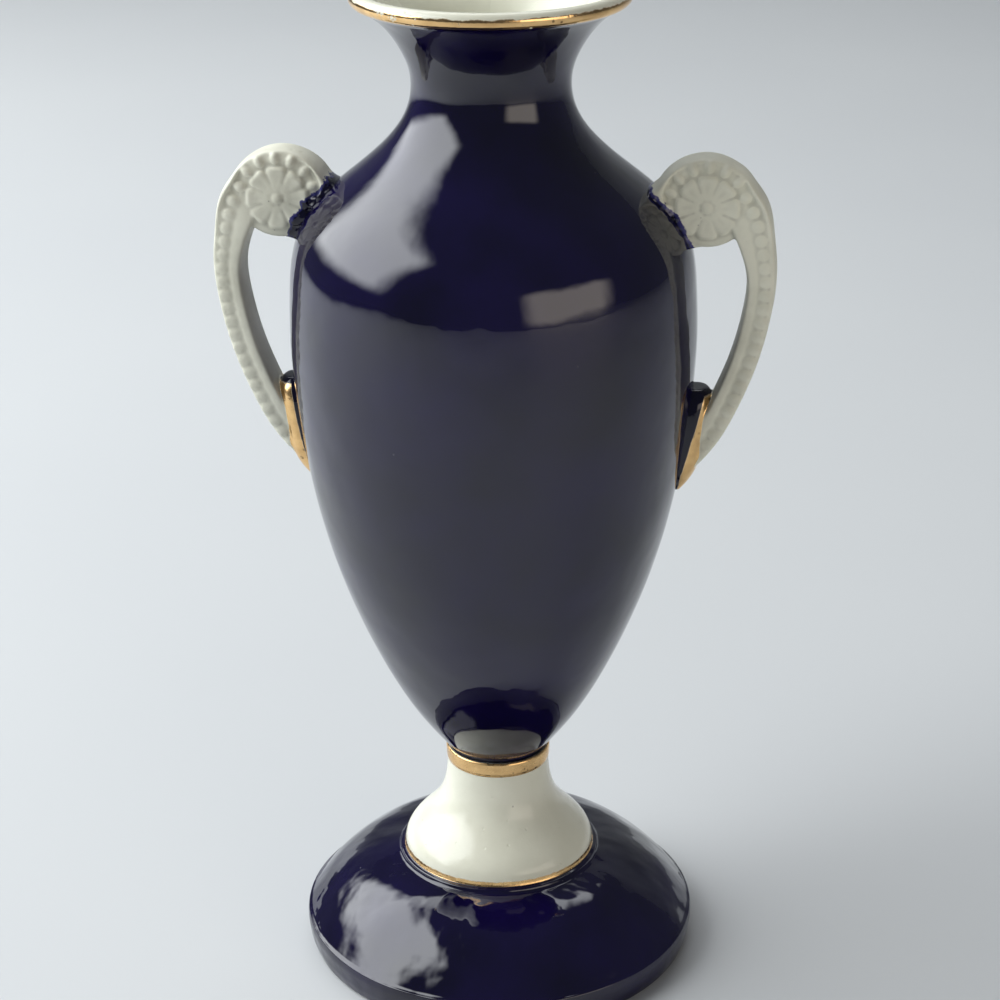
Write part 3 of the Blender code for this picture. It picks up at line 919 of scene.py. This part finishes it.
# %% [markdown]
# ## The head's disc and the tongue
# Behind the rosette lies a plain disc, slightly sunk. At the other end the strap sits on a gilded
# tongue that hugs the belly. Both are closed forms that reach into their neighbours, so that all of
# them can be melted into one casting.

# %% Disc and tongue
DISC_EDGE = 1.9
TONGUE_ROOT = 3.0
TONGUE_BULGE = 0.7
TONGUE_SHARES = (
    (0.00, 0.50, 0.80),
    (0.06, 0.76, 0.98),
    (0.16, 0.94, 1.02),
    (0.30, 1.00, 1.00),
    (0.50, 0.97, 0.96),
    (0.70, 0.85, 0.90),
    (0.87, 0.50, 0.62),
    (1.00, 0.10, 0.20),
)


def disc_mesh():
    """The disc as a turned form about the head's own axis, which runs along Y."""
    face = HALF_THICKNESS - DISC_SINK
    flat = HEAD_RADIUS - DISC_EDGE
    profile = [(0, face), (flat, face)]
    profile += [(flat + r, y) for r, y in arc((0, face - DISC_EDGE), DISC_EDGE, 75, 0, 6)]
    half = profile + [(r, -y) for r, y in profile[::-1]]
    bm = bmesh.new()
    x, z = HEAD_CENTRE
    verts = [bm.verts.new(((x + r) * MM, y * MM, z * MM)) for r, y in half]
    edges = [bm.edges.new(pair) for pair in zip(verts, verts[1:])]
    whole = {"axis": (0, 1, 0), "angle": 2 * math.pi, "steps": 96, "use_merge": True}
    bmesh.ops.spin(bm, geom=verts + edges, cent=(x * MM, 0, z * MM), **whole)
    bmesh.ops.remove_doubles(bm, verts=bm.verts[:], dist=1e-6)
    bmesh.ops.recalc_face_normals(bm, faces=bm.faces[:])
    return bm


def tongue_mesh():
    """The tongue as a loft down the belly, reaching into the wall."""
    shares = np.array(TONGUE_SHARES)
    width_at = spline(shares[:, 0], shares[:, 1])
    rise_at = spline(shares[:, 0], shares[:, 2])
    rings = []
    for share in np.linspace(0, 1, 60):
        z = TONGUE_TOP - share * TONGUE_LENGTH
        half = TONGUE_WIDTH / 2 * max(float(width_at(share)), 0.08)
        rise = TONGUE_THICKNESS * max(float(rise_at(share)), 0.1) * soft_edge(share + 0.03, 0.06)
        ring = [
            (half * math.cos(turn), rise * abs(math.sin(turn)) ** TONGUE_BULGE)
            for turn in np.linspace(0, math.pi, 25)
        ]
        ring += [(-half, -TONGUE_ROOT), (half, -TONGUE_ROOT)]
        surface = float(body_radius(z))
        rings.append([((surface + up) * MM, across * MM, z * MM) for across, up in ring])
    return lofted(rings)


print("disc radius", HEAD_RADIUS, "mm, tongue", TONGUE_LENGTH, "mm long")

# %% [markdown]
# ## The beads
# The beads repeat along a line, which is what instancing is for. The line's points carry two
# attributes: the turn that lays a bead across the line, and its size. The tree puts one small
# sphere on each point. On the head the beads are oval and stand apart, and on the shaft they lie
# flatter and closer together. The table says how far a bead reaches to both sides of the line.

# %% Bead tree
BEAD_SEGMENTS = 20
BEAD_RINGS = 12
HEAD_PITCH = 5.4
SHAFT_PITCH = 4.5
BEAD_LENGTH = (1.50, 2.15)
BEAD_RISE = (1.60, 0.80)
BEAD_SINK = (0.25, 0.0)
BEAD_ENDS = np.array(
    (
        (0.00, 1.7, -2.7),
        (0.28, 1.7, -2.7),
        (0.36, 1.3, -2.9),
        (0.45, 1.0, -3.2),
        (0.52, 1.4, -3.4),
        (0.62, 1.8, -3.3),
        (0.85, 1.6, -3.1),
        (0.93, 0.9, -2.2),
        (1.00, 0.2, -1.4),
    )
)
BEADS_START = 8.0
BEADS_END = 0.93


def bead_tree():
    tree, given = new_tree("Bead row", Segments=BEAD_SEGMENTS, Rings=BEAD_RINGS)
    sizes = {"Segments": given.outputs["Segments"], "Rings": given.outputs["Rings"], "Radius": 1.0}
    bead = node(tree, "GeometryNodeMeshUVSphere", sizes).outputs["Mesh"]
    turn, size = (
        node(tree, "GeometryNodeInputNamedAttribute", {"Name": name}, data_type="FLOAT_VECTOR")
        for name in ("bead_turn", "bead_size")
    )
    turned = node(tree, "FunctionNodeEulerToRotation", {0: turn.outputs[0]}).outputs[0]
    laid = {"Points": given.outputs["Geometry"], "Instance": bead}
    laid |= {"Rotation": turned, "Scale": size.outputs[0]}
    return close_tree(tree, given, node(tree, "GeometryNodeInstanceOnPoints", laid).outputs[0])


def bead_points():
    """Each bead's place in x and z, turn about Y, half sizes along, across and out, and face."""
    made = []
    s = BEADS_START
    while s < LINE_LENGTH * BEADS_END:
        share = s / LINE_LENGTH
        on_shaft = float(np.interp(share, (0.27, 0.38), (0, 1)))
        ahead, out = direction(s)
        outer_end, inner_end = (float(column_at(BEAD_ENDS, share, i)) for i in (1, 2))
        middle = on_line(s) + out * (outer_end + inner_end) / 2
        rise = blend(BEAD_RISE, on_shaft) * float(np.interp(share, (0.80, BEADS_END), (1, 0.6)))
        half = (blend(BEAD_LENGTH, on_shaft), (outer_end - inner_end) / 2, rise)
        face = face_at(share) - blend(BEAD_SINK, on_shaft)
        made.append((middle, math.atan2(-ahead[1], ahead[0]), half, face))
        s += blend((HEAD_PITCH, SHAFT_PITCH), on_shaft)
    return made


def bead_mesh(beads):
    """The beads' points on the front and the back face, with their turns and sizes as attributes."""
    places, turns, sizes = [], [], []
    for (x, z), turn, (along, across, rise), face in beads:
        for side in (-1, 1):
            places.append((x * MM, side * (face - rise + 0.1) * MM, z * MM))
            turns.append((0.0, turn, 0.0))
            sizes.append((along * MM, rise * MM, across * MM))
    mesh = bpy.data.meshes.new("bead_points")
    mesh.from_pydata(places, [], [])
    for name, values in (("bead_turn", turns), ("bead_size", sizes)):
        layer = mesh.attributes.new(name, "FLOAT_VECTOR", "POINT")
        layer.data.foreach_set("vector", np.array(values).ravel())
    return mesh


beads = bead_points()
print(len(beads), "beads on each face")

# %% [markdown]
# ## The rosette
# Eight petals and a button. One petal is shaped: narrow at the heart, widest near its
# rounded tip and slightly hollow down the middle. The tree turns copies of it round the middle, so
# the number of petals is one named input.

# %% Rosette
ROSETTE_RADIUS = 10.2
ROSETTE_DROP = 0.7
PETAL_COUNT = 8
PETAL_LIFT = 1.20
PETAL_FILL = 0.97
PETAL_DISH = 0.42
PETAL_WIDEST = 0.66
PETAL_ROOT = 1.5
BUTTON_RADIUS = 2.3
ROSETTE_CENTRE = HEAD_CENTRE - np.array([0, ROSETTE_DROP])


def petal_mesh():
    """One petal that points along X, with its face towards -Y, in metres."""
    bm = bmesh.new()
    rows, columns = 22, 17
    heart = BUTTON_RADIUS * 0.9
    grid = []
    for u in np.linspace(0, 1, rows):
        reach = heart + (ROSETTE_RADIUS - heart) * u
        wedge = reach * math.tan(math.pi / PETAL_COUNT) * PETAL_FILL
        tip = math.sqrt(max(1 - max((u - PETAL_WIDEST) / (1 - PETAL_WIDEST), 0) ** 2.6, 0))
        half = wedge * tip * soft_edge(u + 0.04, 0.16)
        line = []
        for v in np.linspace(-1, 1, columns):
            crown = (1 - v**6) ** 0.5
            dish = PETAL_DISH * (1 - v**2) * math.sin(math.pi * min(u * 1.15, 1))
            end = soft_edge(1 - u, 0.16) * soft_edge(u + 0.02, 0.12)
            up = PETAL_LIFT * crown * end - dish
            line.append(bm.verts.new((reach * MM, -up * MM, half * v * MM)))
        grid.append(line)
    for first, second in zip(grid, grid[1:]):
        for i in range(columns - 1):
            bm.faces.new((first[i], first[i + 1], second[i + 1], second[i]))
    back = bmesh.ops.extrude_face_region(bm, geom=bm.faces[:])
    for item in back["geom"]:
        if isinstance(item, bmesh.types.BMVert):
            item.co.y = PETAL_ROOT * MM
    bmesh.ops.remove_doubles(bm, verts=bm.verts[:], dist=1e-7)
    bmesh.ops.recalc_face_normals(bm, faces=bm.faces[:])
    mesh = bpy.data.meshes.new("petal")
    bm.to_mesh(mesh)
    bm.free()
    return mesh


def rosette_tree():
    tree, given = new_tree("Rosette", Petals=PETAL_COUNT)
    count = given.outputs["Petals"]
    points = node(tree, "GeometryNodePoints", {"Count": count}).outputs[0]
    index = tree.nodes.new("GeometryNodeInputIndex").outputs[0]
    turn = product(tree, math_node(tree, "DIVIDE", index, count), 2 * math.pi)
    about = node(tree, "ShaderNodeCombineXYZ", {"Y": turn}).outputs[0]
    turned = node(tree, "FunctionNodeEulerToRotation", {0: about}).outputs[0]
    laid = {"Points": points, "Instance": given.outputs["Geometry"], "Rotation": turned}
    return close_tree(tree, given, node(tree, "GeometryNodeInstanceOnPoints", laid).outputs[0])


print("a petal is", round(ROSETTE_RADIUS - BUTTON_RADIUS, 1), "mm long")

# %% [markdown]
# ## Bare porcelain for the handles
# The handle is one casting with three finishes, so its material reads three attributes that are
# worked out when the casting is made: how much gold a place carries, how far it is from the body in
# millimetres, and how deep it lies in the carving. Blue glaze ran up from the body with a ragged
# edge, wide on the left head and narrow on the right one. On the tongues it is a strip along the
# body and a cap at their tops. The hollows get painted shade, a darker colour laid on in patches.

# %% Handle finish
BISQUE_LIGHT = (0.86, 0.85, 0.71)
BISQUE_SHADE = (0.72, 0.71, 0.58)
COBALT_WASH = (0.045, 0.045, 0.200)
HOLLOW_SHADE_COLOUR = (0.36, 0.35, 0.28)
SPOT_COLOUR = (0.12, 0.10, 0.08)
SPOT_DOTS, SPOT_PATCHES = (330.0, 0.05, 0.11), (120.0, 0.60, 0.68)
WORN_COLOUR = (0.05, 0.03, 0.015)
WORN_DOTS, WORN_PATCHES = (300.0, 0.12, 0.30), (150.0, 0.54, 0.60)
SMEAR_REACH = (2.9, 1.3)
SMEAR_RAGGEDNESS = (8.5, 3.6)
STRIP_REACH = (1.3, 3.4)
STRIP_FOOT = 0.6
CAP_EDGE = (2.2, 1.4)
BISQUE_ROUGHNESS = (0.42, 0.62)
RUN_ROUGHNESS, TONGUE_ROUGHNESS = 0.06, 0.24


def attribute(tree, name):
    settings = {"attribute_name": name, "attribute_type": "GEOMETRY"}
    return node(tree, "ShaderNodeAttribute", **settings).outputs["Fac"]


bisque, tree, shader, place = new_material("bisque")
clay = ramp(tree, noise(tree, place, 75.0, 5.0, 0.6), (0.30, BISQUE_SHADE), (0.62, BISQUE_LIGHT))
# Painted shade: the carving's hollows, taken from the 'hollow' attribute, are darkened in patches.
shade_patches = step(tree, noise(tree, place, 210.0, 4.0), 0.25, 0.70, 0.35, 1.0)
hollow_shade = product(tree, attribute(tree, "hollow"), shade_patches)
clay = mix(tree, product(tree, hollow_shade, 0.50), clay, HOLLOW_SHADE_COLOUR)
spots = specks(tree, place, SPOT_DOTS, SPOT_PATCHES)
clay = mix(tree, product(tree, spots, 0.5), clay, SPOT_COLOUR)

height = axis_of(tree, place, "Z")
right = step(tree, axis_of(tree, place, "X"), -1 * MM, 1 * MM)
on_head = step(tree, height, (TONGUE_TOP + 3) * MM, (TONGUE_TOP + 14) * MM)
off_head = difference(tree, 1.0, on_head)
cloud = difference(tree, noise(tree, place, 190.0, 4.0, 0.62), 0.5)
ragged = product(tree, on_head, step(tree, right, 0.0, 1.0, *SMEAR_RAGGEDNESS))
run = product(tree, cloud, math_node(tree, "MAXIMUM", ragged, 0.8))
smear = product(tree, on_head, step(tree, right, 0.0, 1.0, *SMEAR_REACH))
up_tongue = step(tree, height, TONGUE_TIP * MM, TONGUE_TOP * MM)
strip = product(tree, up_tongue, step(tree, right, 0.0, 1.0, *STRIP_REACH))
strip = product(tree, total(tree, strip, STRIP_FOOT), off_head)
reach = total(tree, total(tree, smear, strip), run)
depth = difference(tree, reach, attribute(tree, "off_body"))
on_tongue = total(tree, attribute(tree, "gilding"), product(tree, run, 0.10))
on_tongue = step(tree, on_tongue, 0.42, 0.58)
cap_height = total(tree, height, product(tree, run, 1.2 * MM))
above = step(tree, cap_height, *((TONGUE_TOP - down) * MM for down in CAP_EDGE))
capped = product(tree, on_tongue, above)
glazed = math_node(tree, "MAXIMUM", step(tree, depth, -0.2, 0.2), capped)
gilded = product(tree, on_tongue, difference(tree, 1.0, glazed))
thick = math_node(tree, "MAXIMUM", step(tree, depth, 0.2, 1.6), off_head)
blue = mix(tree, thick, COBALT_WASH, COBALT_DEEP)
gold = ramp(tree, noise(tree, place, 170.0, 5.0, 0.65), (0.28, GOLD_DEEP), (0.60, GOLD_BRIGHT))
pits = specks(tree, place, WORN_DOTS, WORN_PATCHES)
gold = mix(tree, product(tree, pits, 0.8), gold, WORN_COLOUR)
skin = mix(tree, gilded, mix(tree, glazed, clay, blue), gold)
matte = step(tree, noise(tree, place, 90.0, 3.0), 0.3, 0.8, *BISQUE_ROUGHNESS)
rough = between(tree, gilded, between(tree, glazed, matte, RUN_ROUGHNESS), TONGUE_ROUGHNESS)
tree.links.new(skin, shader.inputs["Base Color"])
tree.links.new(gilded, shader.inputs["Metallic"])
tree.links.new(rough, shader.inputs["Roughness"])
shader.inputs["IOR"].default_value = CLAY_IOR
grain, swell = noise(tree, place, 420.0, 3.0), noise(tree, place, 120.0, 2.0)
bump(tree, shader, combined(tree, (grain, 0.6), (swell, 1.0), (pits, -0.6)), 0.00010)
print("bisque done")

# %% [markdown]
# ## Casting the handle
# Slip-cast clay has no sharp joints: strap, disc, petals, beads and tongue flow into each other. A
# voxel remesh does the same. It reads all the overlapping forms as one volume and wraps it in an
# even skin, and a little smoothing takes away the steps. Where the head meets the shoulder, the wet
# clay was wiped into a soft fillet, so the skin flares out there before a second remesh. The body's
# outline, kept just under the surface, then trims what would stand inside the vase.

# %% Casting
VOXEL = 0.40
FINE_VOXEL = 0.34
SMOOTHING = 7
WALL_SINK = 0.7
FILLET_IN_PLANE = 4.6
FILLET_ON_FACE = 1.3
BUTTON_FLATNESS = 0.75


def part_object(name, bm):
    mesh = bpy.data.meshes.new(name)
    bm.to_mesh(mesh)
    bm.free()
    made = bpy.data.objects.new(name, mesh)
    bpy.context.scene.collection.objects.link(made)
    return made


def append_mesh(bm, mesh, place=lambda co: co):
    """Adds a mesh's faces to a bmesh, with each point moved by place."""
    extra = bmesh.new()
    extra.from_mesh(mesh)
    for vert in extra.verts:
        vert.co = place(vert.co)
    moved = bpy.data.meshes.new("moved")
    extra.to_mesh(moved)
    extra.free()
    bm.from_mesh(moved)
    bpy.data.meshes.remove(moved)


def petals_on_face(side):
    """Moves the rosette's points from the origin to the head's front (-1) or back (1)."""
    lift = HALF_THICKNESS - DISC_SINK + 0.05
    x, z = ROSETTE_CENTRE

    def place(co):
        return Vector((x * MM + co.x, side * (lift * MM - co.y), z * MM + co.z))

    return place


def button_mesh():
    """The rosette's two buttons, as flattened balls."""
    bm = bmesh.new()
    x, z = ROSETTE_CENTRE
    ball = {"u_segments": 24, "v_segments": 16, "radius": BUTTON_RADIUS * MM}
    for side in (-1, 1):
        for vert in bmesh.ops.create_uvsphere(bm, **ball)["verts"]:
            vert.co.y = vert.co.y * BUTTON_FLATNESS + side * (HALF_THICKNESS - DISC_SINK) * MM
            vert.co += Vector((x * MM, 0, z * MM))
    return bm


def raw_handle():
    """All the overlapping forms of one handle in one mesh, before they are melted together."""
    bm = strap
    tongue = part_object("tongue_form", tongue_mesh())
    strap_only = BVHTree.FromBMesh(bm)
    tongue_only = BVHTree.FromObject(tongue, bpy.context.evaluated_depsgraph_get())
    disc = part_object("disc_form", disc_mesh())
    sizes = {"Segments": BEAD_SEGMENTS, "Rings": BEAD_RINGS, "Finish": bisque}
    row = run_tree("bead_row", bead_mesh(beads), bead_tree(), sizes)
    petals = {"Petals": PETAL_COUNT, "Finish": bisque}
    rosette = run_tree("rosette_form", petal_mesh(), rosette_tree(), petals)
    buttons = part_object("button_form", button_mesh())
    for piece in (tongue, disc, row, buttons):
        append_mesh(bm, piece.data)
    for side in (-1, 1):
        append_mesh(bm, rosette.data, petals_on_face(side))
    for piece in (tongue, disc, row, rosette, buttons):
        bpy.data.objects.remove(piece)
    return part_object("handle_right_casting", bm), strap_only, tongue_only


def off_the_body(co):
    """The distance of points in millimetres from the body's surface, positive outside."""
    radius = body_radius(co[:, 2])
    slope = body_radius(co[:, 2] + 0.5) - body_radius(co[:, 2] - 0.5)
    return (np.hypot(co[:, 0], co[:, 1]) - radius) / np.sqrt(1 + slope**2)


def flared(piece):
    """Pushes the skin outwards near the body, above the tongue, as a fillet wiped with a wet finger."""
    mesh = piece.data
    co = np.array([v.co[:] for v in mesh.vertices]) / MM
    normals = np.array([v.normal[:] for v in mesh.vertices])
    away = off_the_body(co)
    in_plane = np.hypot(normals[:, 0], normals[:, 2]) ** 2
    reach = FILLET_ON_FACE + (FILLET_IN_PLANE - FILLET_ON_FACE) * in_plane
    reach = reach * np.clip((co[:, 2] - TONGUE_TOP - 20) / 15, 0, 1)
    t = 1 - np.clip(away / np.maximum(reach, 0.01), 0.12, 1)
    push = reach * (1 - np.sqrt(1 - t**2))
    moved = (co + normals * push[:, None]) * MM
    mesh.vertices.foreach_set("co", moved.ravel())
    mesh.update()


def baked(piece, *setups):
    """Adds modifiers one after the other, keeps their result as the mesh and removes them."""
    for kind, settings in setups:
        modifier = piece.modifiers.new(kind.title(), kind)
        for key, value in settings.items():
            setattr(modifier, key, value)
    graph = bpy.context.evaluated_depsgraph_get()
    graph.update()
    result = bpy.data.meshes.new_from_object(piece.evaluated_get(graph))
    piece.modifiers.clear()
    piece.data = result
    return piece


casting, strap_only, tongue_only = raw_handle()
cutter_line = body_outline(-WALL_SINK) + [(0, LIP_UNDERSIDE[0])]
turned = {"Sides": SIDES, "Finish": bisque}
cutter = run_tree("trim_form", line_mesh("trim_line", cutter_line), lathe, turned)
outward(cutter.data)
baked(
    casting,
    ("REMESH", {"mode": "VOXEL", "voxel_size": VOXEL * MM, "adaptivity": 0.0}),
    ("SMOOTH", {"factor": 0.5, "iterations": 3}),
)
flared(casting)
baked(
    casting,
    ("REMESH", {"mode": "VOXEL", "voxel_size": FINE_VOXEL * MM, "adaptivity": 0.0}),
    ("SMOOTH", {"factor": 0.5, "iterations": SMOOTHING}),
    ("BOOLEAN", {"operation": "DIFFERENCE", "solver": "MANIFOLD", "object": cutter}),
)
bpy.data.objects.remove(cutter)
print("casting has", len(casting.data.polygons), "faces")

# %% [markdown]
# ## What the finish needs to know
# The three attributes are measured on the finished skin. The hollows come from the angle between
# neighbouring normals: where the faces round a point lean towards each other, the finish paints shade.

# %% Attributes
GILDING_EDGE = 0.8
DEEPEST_LEAN = 0.09


def hollows(mesh):
    """0 on open places, up to 1 in the carving's hollows."""
    count = len(mesh.vertices)
    co = np.empty(count * 3)
    mesh.vertices.foreach_get("co", co)
    co = co.reshape(-1, 3)
    normals = np.array([v.normal[:] for v in mesh.vertices])
    ends = np.empty(len(mesh.edges) * 2, int)
    mesh.edges.foreach_get("vertices", ends)
    a, b = ends.reshape(-1, 2).T
    step_ab = co[b] - co[a]
    length = np.linalg.norm(step_ab, axis=1) + 1e-12
    lean = ((normals[a] - normals[b]) * step_ab).sum(1) / length
    total = np.zeros(count)
    seen = np.zeros(count)
    for ends_at in (a, b):
        np.add.at(total, ends_at, lean)
        np.add.at(seen, ends_at, 1)
    value = total / np.maximum(seen, 1)
    for _ in range(3):
        spread = np.zeros(count)
        np.add.at(spread, a, value[b])
        np.add.at(spread, b, value[a])
        value = 0.4 * value + 0.6 * spread / np.maximum(seen, 1)
    return np.clip(value / DEEPEST_LEAN, 0, 1)


def paint_attributes(piece):
    mesh = piece.data
    co = np.array([v.co[:] for v in mesh.vertices]) / MM
    gilding = np.zeros(len(co))
    for i in np.nonzero(co[:, 2] < TONGUE_TOP + 2)[0]:
        point = Vector(co[i] * MM)
        to_tongue = tongue_only.find_nearest(point)[3]
        to_strap = strap_only.find_nearest(point)[3]
        gilding[i] = np.clip(0.5 + (to_strap - to_tongue) / (GILDING_EDGE * MM), 0, 1)
    measured = {"off_body": off_the_body(co), "gilding": gilding, "hollow": hollows(mesh)}
    for name, values in measured.items():
        mesh.attributes.new(name, "FLOAT", "POINT").data.foreach_set("value", values)


mesh = casting.data
mesh.materials.clear()
mesh.materials.append(bisque)
mesh.polygons.foreach_set("material_index", [0] * len(mesh.polygons))
mesh.shade_smooth()
paint_attributes(casting)

left_mesh = mesh.copy()
for vert in left_mesh.vertices:
    vert.co.x = -vert.co.x
left_mesh.flip_normals()
left_casting = bpy.data.objects.new("handle_left_casting", left_mesh)
bpy.context.scene.collection.objects.link(left_casting)
print("handles", [len(o.data.polygons) for o in (casting, left_casting)])

# %% [markdown]
# ## Putting the pieces in the frame
# Each new piece rides on the one rigid body and stands for the solid of the same part. Nothing is
# moved to fit, because every piece was made in the frame's own place.

# %% Frame
for piece, solid, slot in (
    (turned_body, "vase_body", "cobalt_glaze"),
    (turned_foot, "pedestal", "cobalt_glaze"),
    (left_casting, "handle_left", "bisque"),
    (casting, "handle_right", "bisque"),
):
    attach(piece, "root")
    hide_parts(solid)

# %% [markdown]
# ## Floor and light
# A pale sheet runs under the vase and curves up far behind it, so there is no horizon line. The
# glaze shows what stands around it, so the lights matter more for their shape than for their
# strength: a tall soft light on the left, and darkness in front.

# %% Floor
FLOOR_BACK = 2.4
FLOOR_FRONT = -2.0
FLOOR_HALF_WIDTH = 3.5
SWEEP_RADIUS = 0.8
WALL_TOP = 2.6
FLOOR_SHADE = (0.630, 0.645, 0.655)
FLOOR_LIGHT = (0.66, 0.675, 0.68)


def sweep_mesh():
    """The sheet as a line in Y and Z drawn out along X."""
    bend = [
        (FLOOR_BACK + SWEEP_RADIUS * math.sin(a), SWEEP_RADIUS * (1 - math.cos(a)))
        for a in np.linspace(0, math.pi / 2, 16)
    ]
    line = [(FLOOR_FRONT, 0.0)] + bend + [(FLOOR_BACK + SWEEP_RADIUS, WALL_TOP)]
    places = [(x, y, z) for y, z in line for x in (-FLOOR_HALF_WIDTH, FLOOR_HALF_WIDTH)]
    faces = [(2 * i, 2 * i + 1, 2 * i + 3, 2 * i + 2) for i in range(len(line) - 1)]
    mesh = bpy.data.meshes.new("floor")
    mesh.from_pydata(places, [], faces)
    mesh.shade_smooth()
    return mesh


paper, tree, shader, place = new_material("pale_floor")
tint = ramp(tree, noise(tree, place, 2.0, 2.0), (0.3, FLOOR_SHADE), (0.7, FLOOR_LIGHT))
tree.links.new(tint, shader.inputs["Base Color"])
shader.inputs["Roughness"].default_value = 0.6
floor = bpy.data.objects.new("floor", sweep_mesh())
floor.data.materials.append(paper)
bpy.context.scene.collection.objects.link(floor)
print("floor reaches", FLOOR_BACK + SWEEP_RADIUS, "m back")

# %% [markdown]
# ### The lights
# An area light with an even face leaves a hard-edged square in the glaze. A real soft box is bright
# in the middle and fades to its edges, so each light's strength falls off smoothly there. A large
# cool light stands on the left, a weak one hangs above and behind, and a small warm one stands on
# the right.

# %% Lights
EDGE_FADE = 0.22
FADE_GAIN = 1.6
AIM = (0, 0, 0.17)
DAYLIGHT = (0.95, 0.98, 1.0)
LAMPLIGHT = (1.0, 0.90, 0.78)
STUDIO_AIR = (0.80, 0.86, 0.95, 1.0)
AIR_STRENGTH = 0.12


def softbox(name, place, width, height, power, colour):
    """A rectangular light that fades towards its edges, as cloth in front of a lamp does."""
    data = bpy.data.lights.new(name, "AREA")
    data.shape = "RECTANGLE"
    data.size = width
    data.size_y = height
    data.energy = power
    data.color = colour
    data.use_nodes = True
    tree = data.node_tree
    sheet = tree.nodes.new("ShaderNodeNewGeometry").outputs["Parametric"]
    fades = []
    for axis in ("X", "Y"):
        to_edge = math_node(tree, "PINGPONG", axis_of(tree, sheet, axis), 0.5)
        fades.append(step(tree, to_edge, 0.0, EDGE_FADE))
    strength = product(tree, product(tree, *fades), FADE_GAIN)
    tree.links.new(strength, tree.nodes["Emission"].inputs["Strength"])
    made = bpy.data.objects.new(name, data)
    made.location = place
    made.rotation_euler = (Vector(AIM) - Vector(place)).to_track_quat("-Z", "Y").to_euler()
    bpy.context.scene.collection.objects.link(made)


softbox("light_left", (-1.60, 0.05, 1.40), 3.4, 2.3, 75, DAYLIGHT)
softbox("light_above", (-0.2, 1.3, 2.4), 2.4, 1.2, 16, DAYLIGHT)
softbox("light_right", (1.65, -1.40, 0.55), 2.3, 1.2, 10, LAMPLIGHT)

world = bpy.data.worlds.new("studio")
world.use_nodes = True
air = world.node_tree.nodes["Background"].inputs
air["Color"].default_value = STUDIO_AIR
air["Strength"].default_value = AIR_STRENGTH
scene = bpy.context.scene
scene.world = world
scene.view_settings.view_transform = "Standard"
scene.view_settings.look = "None"
print("three soft lights")
